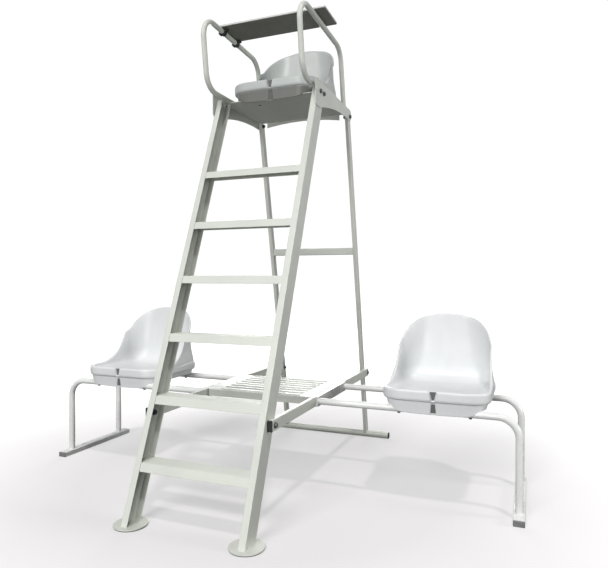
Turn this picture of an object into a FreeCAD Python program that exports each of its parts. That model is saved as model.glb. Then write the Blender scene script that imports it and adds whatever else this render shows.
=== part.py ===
"""Tennis umpire's chair: ladder, raised bucket seat, writing desk, shelf and two player benches.

X runs across the chair, Y runs from the ladder (front) to the rear legs, Z is up.
The origin is on the floor, in the middle of the footprint.
"""
import FreeCAD
import Part
import math
import os

from FreeCAD import Vector

os.makedirs("parts", exist_ok=True)

# --- ladder ---
STEP_COUNT = 6
STEP_PITCH = 250.0
FIRST_STEP_Z = 235.0
LEAN = 0.3956                 # run in Y for each millimetre of rise
FOOT_FRONT_Y = -801.7         # front face of the stiles where they would meet the floor
STILE_OUTER_X = 272.0
STILE_FLANGE = 29.0
STILE_RUN = 88.0              # depth of the channel measured level
STILE_WALL = 3.0
FOOT_PLATE_R = 67.5
FOOT_PLATE_T = 5.0
FOOT_PAD_R = 66.0
FOOT_PAD_T = 3.0
STEP_HEIGHT = 34.0
STEP_WALL = 2.5
STEP_RIBS = 8
RIB_HEIGHT = 1.5
RIB_WIDTH = 4.0

# --- seat head ---
HEAD_Z = 1875.0               # top of the stiles and of the seat pan
PAN_T = 3.0
PAN_FRONT_Y = -4.0
PAN_SHOULDER_Y = 36.0
PAN_REAR_Y = 412.0
PAN_TONGUE_X = 240.0
PAN_FLANGE_X = 220.0
PAN_FLANGE_SIDE_Z = 1843.0
PAN_FLANGE_MID_Z = 1862.0
PLATE_T = 4.0

# --- armrests and desk ---
ARM_X = 248.0
ARM_R = 13.0
ARM_WALL = 2.0
ARM_PLUG_T = 4.0
RUN_SLOPE = 0.043             # fall of the desk rail towards the rear
RAIL_TOP_Z = 2217.3           # desk rail centre at Y = 0
DESK_FRONT_Y = -76.0
DESK_REAR_Y = 102.0
DESK_LEFT_X = -256.0
DESK_RIGHT_X = 311.0
DESK_T = 10.0
DESK_GAP = 0.4                # between the right armrest and the board
CLIP_R = 17.0
CLIP_WIDTH = 24.0
CLIP_PLAY = 0.05
CLIP_FRONT_INSET = 18.0
CLIP_LIP_Z = 9.0                # the hook ends this far above the rail axis
CLIP_REACH = 29.0               # end of the tongue from the rail axis
CLIP_SCREW_X = 22.0

# --- rear frame ---
LEG_SLOPE = 0.2092            # run in Y for each millimetre down
LEG_TOP_Y = 418.3             # leg centre where the leg meets the pan
LEG_W = 20.0
LEG_D = 40.0
LEG_WALL = 2.0
CROSSBAR_Z = 1130.0
CROSSBAR_H = 40.0
FLOOR_BAR_R = 19.0
FLOOR_BAR_HALF = 402.0
FLOOR_BAR_WALL = 2.0
FLOOR_BAR_HOLE_X = 358.0
FLOOR_BAR_HOLE_R = 4.5
PLUG_T = 4.0

# --- rails and shelf ---
RAIL_W = 21.0
RAIL_H = 45.0
RAIL_WALL = 2.0
RAIL_Z = 408.5
RAIL_FRONT_Y = -612.0
RAIL_REAR_Y = 744.0
SHELF_FRONT_Y = -161.0
SHELF_REAR_Y = 257.0
SHELF_T = 2.5
SHELF_H = 34.0
SHELF_RELIEF = 9.0
SHELF_RIBS = 8
SHELF_RIB_MARGIN = 60.0
SHELF_RIB_W = 24.0
SHELF_RIB_H = 4.0

# --- player benches ---
BENCH_FRONT_Y = -131.0
BENCH_REAR_Y = 249.0
BENCH_TUBE_R = 15.0
BENCH_TUBE_WALL = 2.0
BENCH_TUBE_Z = 409.0
BENCH_BEND_R = 86.0
BENCH_LEG_X = 1164.0
BENCH_BAR_T = 10.0
BENCH_BAR_FRONT_Y = -146.0
BENCH_BAR_REAR_Y = 264.0
BENCH_FLOOR_W = 45.0
BENCH_FLOOR_H = 25.0
BENCH_FLOOR_WALL = 2.0
BENCH_FLOOR_FRONT_Y = -202.0
BENCH_FLOOR_REAR_Y = 319.0
BENCH_SEAT_X = 823.0

# --- bucket seat, measured from its front lip and its mounting face ---
SEAT_HALF_W = 230.0
SEAT_HOLE_X = 150.0
SEAT_HOLE_FRONT = 35.0
SEAT_HOLE_REAR = 415.0
SEAT_LIP_Z = 76.0
SEAT_RIM_Z = 27.0
SEAT_APRON_Z = -28.0
SEAT_APRON_REACH = 19.5
SEAT_TOP_Z = 377.0
SEAT_DISH_Z = 46.0
SEAT_WALL = 7.0
UMPIRE_SEAT_FRONT_Y = -24.0
SPACER_T = 10.0                # between the pan and the raised seat
SPACER_R = 11.0
BENCH_SEAT_FRONT_Y = BENCH_FRONT_Y - SEAT_HOLE_FRONT

# --- fasteners ---
BOLT_R = 5.0
BOLT_HOLE_R = 5.25
WASHER_R = 12.0
WASHER_T = 2.0
HEX_R = 9.8
HEAD_T = 6.4
NUT_T = 8.0
SCREW_R = 4.0
SCREW_HOLE_R = 4.25
SCREW_HEAD_R = 6.5
SCREW_HEAD_T = 4.5
CLIP_SCREW_R = 2.0

RAIL_INNER_X = STILE_OUTER_X
RAIL_OUTER_X = RAIL_INNER_X + RAIL_W
STILE_FOOT_Z = FOOT_PAD_T + FOOT_PLATE_T
LEG_X = STILE_OUTER_X - LEG_W / 2
PLATE_OUTER_X = STILE_OUTER_X + PLATE_T
FLANGE_RUN = STILE_WALL * math.hypot(1.0, LEAN)
ARM_LOW_Z = HEAD_Z + ARM_R
HEAD_BOLT_Z = 1860.0
HEAD_BOLT_YS = (-40.0, 5.0)
RAIL_FRONT_BOLT_Y = -588.0
BENCH_BOLT_YS = (-66.0, 186.0)


def stile_y(z):
    """Y of the front face of the stiles at height z."""
    return FOOT_FRONT_Y + LEAN * z


def leg_y(z):
    """Y of the centre of the rear legs at height z."""
    return LEG_TOP_Y + LEG_SLOPE * (HEAD_Z - z)


def box(x0, x1, y0, y1, z0, z1):
    """Axis-aligned block between two corners."""
    return Part.makeBox(x1 - x0, y1 - y0, z1 - z0, Vector(x0, y0, z0))


def bar_x(radius, x0, x1, y, z):
    """Round bar along X."""
    start = Vector(min(x0, x1), y, z)
    return Part.makeCylinder(radius, abs(x1 - x0), start, Vector(1, 0, 0))


def bar_z(radius, x, y, z0, z1):
    """Round bar along Z."""
    return Part.makeCylinder(radius, z1 - z0, Vector(x, y, z0), Vector(0, 0, 1))


def hexagon_x(x0, x1, y, z):
    """Hexagonal prism along X."""
    start = min(x0, x1)
    angles = [math.radians(60 * i) for i in range(7)]
    points = [Vector(start, y + HEX_R * math.sin(a), z + HEX_R * math.cos(a)) for a in angles]
    return Part.Face(Part.makePolygon(points)).extrude(Vector(abs(x1 - x0), 0, 0))


def plate_yz(points, x0, x1):
    """Prism along X whose outline is a closed polygon of (y, z) points."""
    corners = [Vector(x0, y, z) for y, z in points]
    corners.append(corners[0])
    return Part.Face(Part.makePolygon(corners)).extrude(Vector(x1 - x0, 0, 0))


def mirrored(shape):
    """The same shape on the other side of the chair."""
    return shape.mirror(Vector(0, 0, 0), Vector(1, 0, 0))


def leaning_strip(run0, run1, x0, x1, z0, z1):
    """Block that leans with the ladder, from run0 to run1 behind the stile front."""
    outline = [
        (stile_y(z0) + run0, z0),
        (stile_y(z0) + run1, z0),
        (stile_y(z1) + run1, z1),
        (stile_y(z1) + run0, z1),
    ]
    return plate_yz(outline, x0, x1)


def rounded_route(points, radius):
    """Wire through the points with a tangent arc of the given radius at each inner point."""
    edges = []
    start = points[0]
    for here, after in zip(points[1:-1], points[2:]):
        back = (start - here).normalize()
        ahead = (after - here).normalize()
        half = back.getAngle(ahead) / 2
        cut = radius / math.tan(half)
        bisector = (back + ahead).normalize()
        middle = here + bisector * (radius / math.sin(half) - radius)
        edges.append(Part.LineSegment(start, here + back * cut).toShape())
        edges.append(Part.Arc(here + back * cut, middle, here + ahead * cut).toShape())
        start = here + ahead * cut
    edges.append(Part.LineSegment(start, points[-1]).toShape())
    return Part.Wire(edges)


def tube_along(route, direction, radius, wall):
    """Round tube swept along a planar route that starts in the given direction."""
    start = route.Vertexes[0].Point
    solids = []
    for r in (radius, radius - wall):
        ring = Part.Wire(Part.makeCircle(r, start, direction))
        solids.append(route.makePipeShell([ring], True, False))
    return solids[0].cut(solids[1])


# --- ladder -------------------------------------------------------------------------------

def right_stile():
    """Inclined channel with its web outwards, cut level at the foot and at the head."""
    web = leaning_strip(0, STILE_RUN, STILE_OUTER_X - STILE_WALL, STILE_OUTER_X, STILE_FOOT_Z, HEAD_Z)
    inner_x = STILE_OUTER_X - STILE_FLANGE
    front = leaning_strip(0, FLANGE_RUN, inner_x, STILE_OUTER_X, STILE_FOOT_Z, HEAD_Z)
    rear = leaning_strip(STILE_RUN - FLANGE_RUN, STILE_RUN, inner_x, STILE_OUTER_X, STILE_FOOT_Z, HEAD_Z)
    stile = web.fuse([front, rear]).removeSplitter()
    holes = [(y, HEAD_BOLT_Z) for y in HEAD_BOLT_YS] + [(RAIL_FRONT_BOLT_Y, RAIL_Z)]
    for y, z in holes:
        stile = stile.cut(bar_x(BOLT_HOLE_R, STILE_OUTER_X - 10, STILE_OUTER_X + 10, y, z))
    return stile


def step(index):
    """Ribbed tread with a front and a rear skirt that lean with the stiles."""
    top = FIRST_STEP_Z + index * STEP_PITCH
    x1 = STILE_OUTER_X - STILE_WALL
    run0 = FLANGE_RUN
    run1 = STILE_RUN - FLANGE_RUN
    skirt = STEP_WALL * math.hypot(1.0, LEAN)
    deck_z = top - RIB_HEIGHT
    deck = leaning_strip(run0, run1, -x1, x1, deck_z - STEP_WALL, deck_z)
    front = leaning_strip(run0, run0 + skirt, -x1, x1, top - STEP_HEIGHT, deck_z)
    rear = leaning_strip(run1 - skirt, run1, -x1, x1, top - STEP_HEIGHT, deck_z)
    pitch = (run1 - run0 - RIB_WIDTH) / (STEP_RIBS - 1)
    ribs = []
    for i in range(STEP_RIBS):
        run = run0 + i * pitch
        ribs.append(leaning_strip(run, run + RIB_WIDTH, -x1, x1, deck_z - 0.5, top))
    return deck.fuse([front, rear] + ribs).removeSplitter()


def foot_centre():
    """Middle of a stile's foot, seen from above."""
    return Vector(STILE_OUTER_X - STILE_FLANGE / 2, stile_y(STILE_FOOT_Z) + STILE_RUN / 2, 0)


def right_foot_plate():
    """Round steel plate welded under the stile."""
    c = foot_centre()
    return bar_z(FOOT_PLATE_R, c.x, c.y, FOOT_PAD_T, STILE_FOOT_Z)


def right_foot_pad():
    """Rubber disc under the foot plate."""
    c = foot_centre()
    return bar_z(FOOT_PAD_R, c.x, c.y, 0, FOOT_PAD_T)


# --- seat head ----------------------------------------------------------------------------

def right_side_plate():
    """Plate on the outside of the head: level on top, arched below, round at the rear."""
    front_y = -104.0
    front_z = 1908.0
    heel_z = 1782.0
    rear_z = 1868.0
    rear_y = leg_y(rear_z)
    rear_r = 31.0
    corner = 22.0
    x = STILE_OUTER_X

    def v(y, z):
        return Vector(x, y, z)

    def line(a, b):
        return Part.LineSegment(a, b).toShape()

    def arc(a, m, b):
        return Part.Arc(a, m, b).toShape()

    k = corner * (1 - math.sqrt(0.5))
    diagonal = rear_r * math.sqrt(0.5)
    edges = [
        line(v(front_y, heel_z + corner), v(front_y, front_z - corner)),
        arc(v(front_y, front_z - corner), v(front_y + k, front_z - k), v(front_y + corner, front_z)),
        line(v(front_y + corner, front_z), v(rear_y, rear_z + rear_r)),
        arc(v(rear_y, rear_z + rear_r), v(rear_y + diagonal, rear_z + diagonal), v(rear_y + rear_r, rear_z)),
        arc(v(rear_y + rear_r, rear_z), v(rear_y + diagonal, rear_z - diagonal), v(rear_y, rear_z - rear_r)),
        arc(v(rear_y, rear_z - rear_r), v(170, 1829), v(-40, heel_z)),
        line(v(-40, heel_z), v(front_y + corner, heel_z)),
        arc(v(front_y + corner, heel_z), v(front_y + k, heel_z + k), v(front_y, heel_z + corner)),
    ]
    plate = Part.Face(Part.Wire(edges)).extrude(Vector(PLATE_T, 0, 0))
    holes = [(y, HEAD_BOLT_Z) for y in HEAD_BOLT_YS] + [(leg_y(HEAD_BOLT_Z), HEAD_BOLT_Z)]
    for y, z in holes:
        plate = plate.cut(bar_x(BOLT_HOLE_R, x - 5, x + 10, y, z))
    return plate.cut(bar_x(4.0, x - 5, x + 10, -70, 1811))


def seat_pan():
    """Flat sheet between the side plates with an arched flange folded down at the rear."""
    z0 = HEAD_Z - PAN_T
    half = STILE_OUTER_X
    deck = box(-half, half, PAN_SHOULDER_Y, PAN_REAR_Y, z0, HEAD_Z)
    tongue = box(-PAN_TONGUE_X, PAN_TONGUE_X, PAN_FRONT_Y, PAN_SHOULDER_Y, z0, HEAD_Z)
    y0 = PAN_REAR_Y - PAN_T
    left = Vector(-PAN_FLANGE_X, y0, PAN_FLANGE_SIDE_Z)
    right = Vector(PAN_FLANGE_X, y0, PAN_FLANGE_SIDE_Z)
    arch = Part.Arc(left, Vector(0, y0, PAN_FLANGE_MID_Z), right).toShape()
    top_right = Vector(PAN_FLANGE_X, y0, HEAD_Z - PAN_T / 2)
    top_left = Vector(-PAN_FLANGE_X, y0, HEAD_Z - PAN_T / 2)
    sides = Part.makePolygon([right, top_right, top_left, left])
    flange = Part.Face(Part.Wire([arch] + sides.Edges)).extrude(Vector(0, PAN_T, 0))
    pan = deck.fuse([tongue, flange]).removeSplitter()
    for x, y in seat_holes(0, UMPIRE_SEAT_FRONT_Y):
        pan = pan.cut(bar_z(SCREW_HOLE_R, x, y, z0 - 5, HEAD_Z + 5))
    return pan


# --- armrests and desk --------------------------------------------------------------------

def desk_rail_z(y):
    """Height of the centre of the desk rail."""
    return RAIL_TOP_Z - RUN_SLOPE * y


def right_armrest():
    """Bent tube: along the pan, up the front, back along the desk rail and down to the pan."""
    low_rear_y = 120.0
    low_front_y = -196.0
    top_front_y = -244.0
    top_rear_y = 338.0
    rear_foot_y = 407.0
    stations = [
        (low_rear_y, ARM_LOW_Z),
        (low_front_y, ARM_LOW_Z),
        (top_front_y, desk_rail_z(top_front_y)),
        (top_rear_y, desk_rail_z(top_rear_y)),
        (rear_foot_y, HEAD_Z - 10),
    ]
    points = [Vector(ARM_X, y, z) for y, z in stations]
    tube = tube_along(rounded_route(points, 88.0), Vector(0, -1, 0), ARM_R, ARM_WALL)
    below = box(ARM_X - 40, ARM_X + 40, low_rear_y + 60, rear_foot_y + 60, HEAD_Z - 40, HEAD_Z)
    return tube.cut(below)


def armrest_plugs():
    """Black plug in the lower end of each armrest."""
    solids = []
    for side in (-1, 1):
        start = Vector(side * ARM_X, 120.0, ARM_LOW_Z)
        cap = Part.makeCylinder(ARM_R, ARM_PLUG_T, start, Vector(0, 1, 0))
        stem = Part.makeCylinder(ARM_R - ARM_WALL, 12, start, Vector(0, -1, 0))
        solids.append(cap.fuse(stem).removeSplitter())
    return Part.makeCompound(solids)


def on_desk_rail(shape):
    """Tilt a shape drawn about the level line Y into the line of the left desk rail."""
    placed = shape.copy()
    placed.rotate(Vector(0, 0, 0), Vector(1, 0, 0), -math.degrees(math.atan(RUN_SLOPE)))
    placed.translate(Vector(-ARM_X, 0, RAIL_TOP_Z))
    return placed


def desk_board():
    """Writing board, drawn about the axis of the left desk rail."""
    z0 = ARM_R + DESK_GAP
    x0 = DESK_LEFT_X + ARM_X
    x1 = DESK_RIGHT_X + ARM_X
    board = box(x0, x1, DESK_FRONT_Y, DESK_REAR_Y, z0, z0 + DESK_T)
    upright = [e for e in board.Edges if abs(e.tangentAt(e.FirstParameter).z) > 0.9]
    board = board.makeFillet(6.0, upright)
    for x, y in clip_screw_places():
        board = board.cut(bar_z(CLIP_SCREW_R, x, y, z0 - 1, z0 + 9))
    return on_desk_rail(board)


def clip_spans():
    """Y ranges of the front and the rear clip."""
    front = DESK_FRONT_Y + CLIP_FRONT_INSET
    rear = DESK_REAR_Y - CLIP_WIDTH
    return [(front, front + CLIP_WIDTH), (rear, rear + CLIP_WIDTH)]


def clip_screw_places():
    """Places of the two screws of each clip, about the axis of the rail."""
    return [(CLIP_SCREW_X, (y0 + y1) / 2 + offset) for y0, y1 in clip_spans() for offset in (-7, 7)]


def desk_clip(index):
    """Hook that snaps round the left desk rail from below, with a tongue under the board."""
    y0, y1 = clip_spans()[index]
    along = Vector(0, 1, 0)
    start = Vector(0, y0, 0)
    ring = Part.makeCylinder(CLIP_R, CLIP_WIDTH, start, along)
    tongue_top = ARM_R + DESK_GAP
    tongue = box(ARM_R, CLIP_REACH, y0, y1, tongue_top - 8, tongue_top)
    jaw = box(-6, 6, y0, y1, -CLIP_R - 5, -ARM_R)
    jaw.rotate(Vector(0, 0, 0), along, 62)
    open_top = box(-CLIP_R - 1, ARM_R, y0 - 1, y1 + 1, CLIP_LIP_Z, CLIP_R + 1)
    body = ring.cut(open_top).fuse([tongue, jaw])
    bore = Part.makeCylinder(ARM_R + CLIP_PLAY, CLIP_WIDTH + 2, Vector(0, y0 - 1, 0), along)
    body = body.cut(bore)
    for x, y in clip_screw_places()[2 * index:2 * index + 2]:
        body = body.cut(bar_z(CLIP_SCREW_R, x, y, 0, tongue_top + 1))
    return on_desk_rail(body)


def desk_clip_screws():
    """Four small screws that hold the clips to the board."""
    tongue_bottom = ARM_R + DESK_GAP - 8
    solids = []
    for x, y in clip_screw_places():
        shank = bar_z(CLIP_SCREW_R, x, y, tongue_bottom, tongue_bottom + 16)
        head = bar_z(2 * CLIP_SCREW_R, x, y, tongue_bottom - 2, tongue_bottom)
        solids.append(on_desk_rail(shank.fuse(head).removeSplitter()))
    return Part.makeCompound(solids)


# --- rear frame ---------------------------------------------------------------------------

def right_rear_leg():
    """Rectangular tube from under the pan to the floor bar."""
    top = HEAD_Z - PAN_T
    bottom = FLOOR_BAR_R

    def leaning_tube(grow):
        half_w = LEG_W / 2 - grow
        half_d = LEG_D / 2 - grow
        outline = [
            (leg_y(bottom) - half_d, bottom),
            (leg_y(bottom) + half_d, bottom),
            (leg_y(top) + half_d, top),
            (leg_y(top) - half_d, top),
        ]
        return plate_yz(outline, LEG_X - half_w, LEG_X + half_w)

    leg = leaning_tube(0).cut(leaning_tube(LEG_WALL))
    saddle = bar_x(FLOOR_BAR_R, -500, 500, leg_y(FLOOR_BAR_R), FLOOR_BAR_R)
    leg = leg.cut(saddle)
    for z in (HEAD_BOLT_Z, RAIL_Z):
        leg = leg.cut(bar_x(BOLT_HOLE_R, LEG_X - 20, LEG_X + 20, leg_y(z), z))
    return max(leg.Solids, key=lambda solid: solid.Volume)


def rear_crossbar():
    """Rectangular tube between the rear legs."""
    half_x = LEG_X - LEG_W / 2
    y = leg_y(CROSSBAR_Z)
    z0 = CROSSBAR_Z - CROSSBAR_H / 2
    z1 = CROSSBAR_Z + CROSSBAR_H / 2
    outer = box(-half_x, half_x, y - LEG_W / 2, y + LEG_W / 2, z0, z1)
    w = LEG_WALL
    inner = box(-half_x, half_x, y - LEG_W / 2 + w, y + LEG_W / 2 - w, z0 + w, z1 - w)
    return outer.cut(inner)


def rear_floor_bar():
    """Round tube on the floor, wider than the legs, with an anchor hole near each end."""
    y = leg_y(FLOOR_BAR_R)
    outer = bar_x(FLOOR_BAR_R, -FLOOR_BAR_HALF, FLOOR_BAR_HALF, y, FLOOR_BAR_R)
    inner = bar_x(FLOOR_BAR_R - FLOOR_BAR_WALL, -FLOOR_BAR_HALF, FLOOR_BAR_HALF, y, FLOOR_BAR_R)
    bar = outer.cut(inner)
    for side in (-1, 1):
        bar = bar.cut(bar_z(FLOOR_BAR_HOLE_R, side * FLOOR_BAR_HOLE_X, y, -5, 60))
    return bar


def floor_bar_plugs():
    """Black plugs in the ends of the rear floor bar."""
    y = leg_y(FLOOR_BAR_R)
    solids = []
    for side in (-1, 1):
        end = side * FLOOR_BAR_HALF
        cap = bar_x(FLOOR_BAR_R, end, end + side * PLUG_T, y, FLOOR_BAR_R)
        stem = bar_x(FLOOR_BAR_R - FLOOR_BAR_WALL, end, end - side * 15, y, FLOOR_BAR_R)
        solids.append(cap.fuse(stem).removeSplitter())
    return Part.makeCompound(solids)


# --- rails and shelf ----------------------------------------------------------------------

def right_rail():
    """Rectangular tube bolted outside the stile and outside the rear leg."""
    z0 = RAIL_Z - RAIL_H / 2
    z1 = RAIL_Z + RAIL_H / 2
    w = RAIL_WALL
    outer = box(RAIL_INNER_X, RAIL_OUTER_X, RAIL_FRONT_Y, RAIL_REAR_Y, z0, z1)
    inner = box(RAIL_INNER_X + w, RAIL_OUTER_X - w, RAIL_FRONT_Y, RAIL_REAR_Y, z0 + w, z1 - w)
    rail = outer.cut(inner)
    for y in (RAIL_FRONT_BOLT_Y, leg_y(RAIL_Z)) + BENCH_BOLT_YS:
        rail = rail.cut(bar_x(BOLT_HOLE_R, RAIL_INNER_X - 5, RAIL_OUTER_X + 5, y, RAIL_Z))
    return rail


def rail_plugs():
    """Black plugs in the four ends of the rails."""
    solids = []
    w = RAIL_WALL
    z0 = RAIL_Z - RAIL_H / 2
    z1 = RAIL_Z + RAIL_H / 2
    for end, outward in ((RAIL_FRONT_Y, -1), (RAIL_REAR_Y, 1)):
        cap_y = sorted((end, end + outward * PLUG_T))
        stem_y = sorted((end, end - outward * 10))
        cap = box(RAIL_INNER_X, RAIL_OUTER_X, cap_y[0], cap_y[1], z0, z1)
        stem = box(RAIL_INNER_X + w, RAIL_OUTER_X - w, stem_y[0], stem_y[1], z0 + w, z1 - w)
        plug = cap.fuse(stem).removeSplitter()
        solids += [plug, mirrored(plug)]
    return Part.makeCompound(solids)


def shelf_panel():
    """Sheet tray between the rails with long pressed ribs across it."""
    top = RAIL_Z + RAIL_H / 2
    half = RAIL_INNER_X
    t = SHELF_T
    deck = box(-half, half, SHELF_FRONT_Y, SHELF_REAR_Y, top - t, top)
    flange_x = half - SHELF_RELIEF
    front = box(-flange_x, flange_x, SHELF_FRONT_Y, SHELF_FRONT_Y + t, top - SHELF_H, top - t)
    rear = box(-flange_x, flange_x, SHELF_REAR_Y - t, SHELF_REAR_Y, top - SHELF_H, top - t)
    side = box(half - t, half, SHELF_FRONT_Y + 4, SHELF_REAR_Y - 4, top - SHELF_H, top - t)
    tray = deck.fuse([front, rear, side, mirrored(side)])
    pitch = (SHELF_REAR_Y - SHELF_FRONT_Y) / SHELF_RIBS
    reach = half - SHELF_RIB_MARGIN
    for i in range(SHELF_RIBS):
        y = SHELF_FRONT_Y + (i + 0.5) * pitch
        bead = rib_bead(reach, SHELF_RIB_W / 2, y, top - 0.5, top + SHELF_RIB_H)
        tray = tray.fuse(bead)
    tray = tray.removeSplitter()
    for i in range(SHELF_RIBS):
        y = SHELF_FRONT_Y + (i + 0.5) * pitch
        under = rib_bead(reach - t, SHELF_RIB_W / 2 - t, y, top - t - 1, top + SHELF_RIB_H - t)
        tray = tray.cut(under)
    for y in BENCH_BOLT_YS:
        tray = tray.cut(bar_x(BOLT_HOLE_R, -half - 5, half + 5, y, RAIL_Z))
    return tray


def rib_bead(reach, half_w, y, z0, z1):
    """Long round-ended block across the shelf."""
    straight = reach - half_w
    bead = box(-straight, straight, y - half_w, y + half_w, z0, z1)
    ends = [bar_z(half_w, side * straight, y, z0, z1) for side in (-1, 1)]
    return bead.fuse(ends).removeSplitter()


# --- player benches -----------------------------------------------------------------------

def right_bench_bar():
    """Flat bar that bolts the bench to the outside of the rail."""
    x1 = RAIL_OUTER_X + BENCH_BAR_T
    z0 = RAIL_Z - RAIL_H / 2
    z1 = RAIL_Z + RAIL_H / 2
    bar = box(RAIL_OUTER_X, x1, BENCH_BAR_FRONT_Y, BENCH_BAR_REAR_Y, z0, z1)
    for y in BENCH_BOLT_YS:
        bar = bar.cut(bar_x(BOLT_R, RAIL_OUTER_X - 5, x1 - 1.5, y, RAIL_Z))
    return bar


def right_bench_tube(y):
    """Tube that runs out level from the bench bar and bends down to the floor bar."""
    points = [
        Vector(RAIL_OUTER_X + BENCH_BAR_T, y, BENCH_TUBE_Z),
        Vector(BENCH_LEG_X, y, BENCH_TUBE_Z),
        Vector(BENCH_LEG_X, y, BENCH_FLOOR_H),
    ]
    route = rounded_route(points, BENCH_BEND_R)
    tube = tube_along(route, Vector(1, 0, 0), BENCH_TUBE_R, BENCH_TUBE_WALL)
    z0 = BENCH_TUBE_Z - BENCH_TUBE_R - 5
    z1 = BENCH_TUBE_Z + BENCH_TUBE_R + 5
    for side in (-1, 1):
        tube = tube.cut(bar_z(SCREW_HOLE_R, BENCH_SEAT_X + side * SEAT_HOLE_X, y, z0, z1))
    return tube


def right_bench_floor_bar():
    """Flat rectangular tube under the two legs of the bench."""
    x0 = BENCH_LEG_X - BENCH_FLOOR_W / 2
    x1 = BENCH_LEG_X + BENCH_FLOOR_W / 2
    w = BENCH_FLOOR_WALL
    outer = box(x0, x1, BENCH_FLOOR_FRONT_Y, BENCH_FLOOR_REAR_Y, 0, BENCH_FLOOR_H)
    inner = box(x0 + w, x1 - w, BENCH_FLOOR_FRONT_Y, BENCH_FLOOR_REAR_Y, w, BENCH_FLOOR_H - w)
    return outer.cut(inner)


def bench_plugs():
    """Grey plugs in the four ends of the bench floor bars."""
    solids = []
    w = BENCH_FLOOR_WALL
    x0 = BENCH_LEG_X - BENCH_FLOOR_W / 2
    x1 = BENCH_LEG_X + BENCH_FLOOR_W / 2
    for end, outward in ((BENCH_FLOOR_FRONT_Y, -1), (BENCH_FLOOR_REAR_Y, 1)):
        cap_y = sorted((end, end + outward * PLUG_T))
        stem_y = sorted((end, end - outward * 15))
        cap = box(x0, x1, cap_y[0], cap_y[1], 0, BENCH_FLOOR_H)
        stem = box(x0 + w, x1 - w, stem_y[0], stem_y[1], w, BENCH_FLOOR_H - w)
        plug = cap.fuse(stem).removeSplitter()
        solids += [plug, mirrored(plug)]
    return Part.makeCompound(solids)


# --- bucket seat --------------------------------------------------------------------------

def rounded_section(half_x, y0, y1, radius, z):
    """Closed wire: a level rectangle with round corners."""
    k = radius * (1 - math.sqrt(0.5))
    corners = [(1, 1), (-1, 1), (-1, -1), (1, -1)]
    mid_y = (y0 + y1) / 2
    half_y = (y1 - y0) / 2
    arcs = []
    for sx, sy in corners:
        on_side = Vector(sx * half_x, mid_y + sy * (half_y - radius), z)
        on_end = Vector(sx * (half_x - radius), mid_y + sy * half_y, z)
        middle = Vector(sx * (half_x - k), mid_y + sy * (half_y - k), z)
        first, last = (on_side, on_end) if sx * sy > 0 else (on_end, on_side)
        arcs.append(Part.Arc(first, middle, last).toShape())
    edges = []
    for i, curve in enumerate(arcs):
        after = arcs[(i + 1) % 4]
        edges.append(curve)
        edges.append(Part.LineSegment(curve.Vertexes[-1].Point, after.Vertexes[0].Point).toShape())
    return Part.Wire(edges)


def loft(sections, straight=False):
    """Solid through (half_x, y0, y1, radius, z) sections, with straight or smooth sides."""
    return Part.makeLoft([rounded_section(*s) for s in sections], True, straight)


def seat_blank(inset):
    """Outer form of the bucket, from the rim line up, moved inwards by the inset."""
    w = SEAT_HALF_W - inset
    return loft([
        (w, inset, 452 - inset, 92 - inset, SEAT_LIP_Z - 10),
        (w - 11, inset, 454 - inset, 110 - inset, 150),
        (w - 15, inset, 459 - inset, 120 - inset, 250),
        (w - 23, inset, 467 - inset, 132 - inset, SEAT_TOP_Z + 23),
    ], straight=True)


def seat_side_cutter():
    """Everything above the rim line of the bucket, seen from the side."""
    reach = SEAT_HALF_W + 20

    def v(y, z):
        return Vector(-reach, y, z)

    edges = [
        Part.LineSegment(v(-50, SEAT_LIP_Z), v(100, SEAT_LIP_Z)).toShape(),
        Part.Arc(v(100, SEAT_LIP_Z), v(232, 108), v(308, 205)).toShape(),
        Part.Arc(v(308, 205), v(345, 300), v(420, SEAT_TOP_Z + 30)).toShape(),
        Part.LineSegment(v(420, SEAT_TOP_Z + 30), v(420, SEAT_TOP_Z + 80)).toShape(),
        Part.LineSegment(v(420, SEAT_TOP_Z + 80), v(-50, SEAT_TOP_Z + 80)).toShape(),
        Part.LineSegment(v(-50, SEAT_TOP_Z + 80), v(-50, SEAT_LIP_Z)).toShape(),
    ]
    return Part.Face(Part.Wire(edges)).extrude(Vector(2 * reach, 0, 0))


def seat_front_outline():
    """Prism along Y with the round-topped outline of the back, seen from the front."""
    half = SEAT_HALF_W + 14
    low = (half, 120)
    shoulder = (212, 275)
    turn = (176, 337)
    crown = (95, SEAT_TOP_Z - 8)

    def v(point, side=1):
        return Vector(side * point[0], -60, point[1])

    def line(a, b):
        return Part.LineSegment(a, b).toShape()

    edges = [
        line(v((half, -60), -1), v((half, -60))),
        line(v((half, -60)), v(low)),
        line(v(low), v(shoulder)),
        Part.Arc(v(shoulder), v(turn), v(crown)).toShape(),
        Part.Arc(v(crown), v((0, SEAT_TOP_Z)), v(crown, -1)).toShape(),
        Part.Arc(v(crown, -1), v(turn, -1), v(shoulder, -1)).toShape(),
        line(v(shoulder, -1), v(low, -1)),
        line(v(low, -1), v((half, -60), -1)),
    ]
    return Part.Face(Part.Wire(edges)).extrude(Vector(0, 640, 0))


def notch(half_top, half_bottom, z0, z1, depth):
    """Wedge that is cut into the front of the seat."""
    points = [(half_top, z1), (-half_top, z1), (-half_bottom, z0), (half_bottom, z0)]
    corners = [Vector(x, -5, z) for x, z in points]
    corners.append(corners[0])
    return Part.Face(Part.makePolygon(corners)).extrude(Vector(0, depth + 5, 0))


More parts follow.
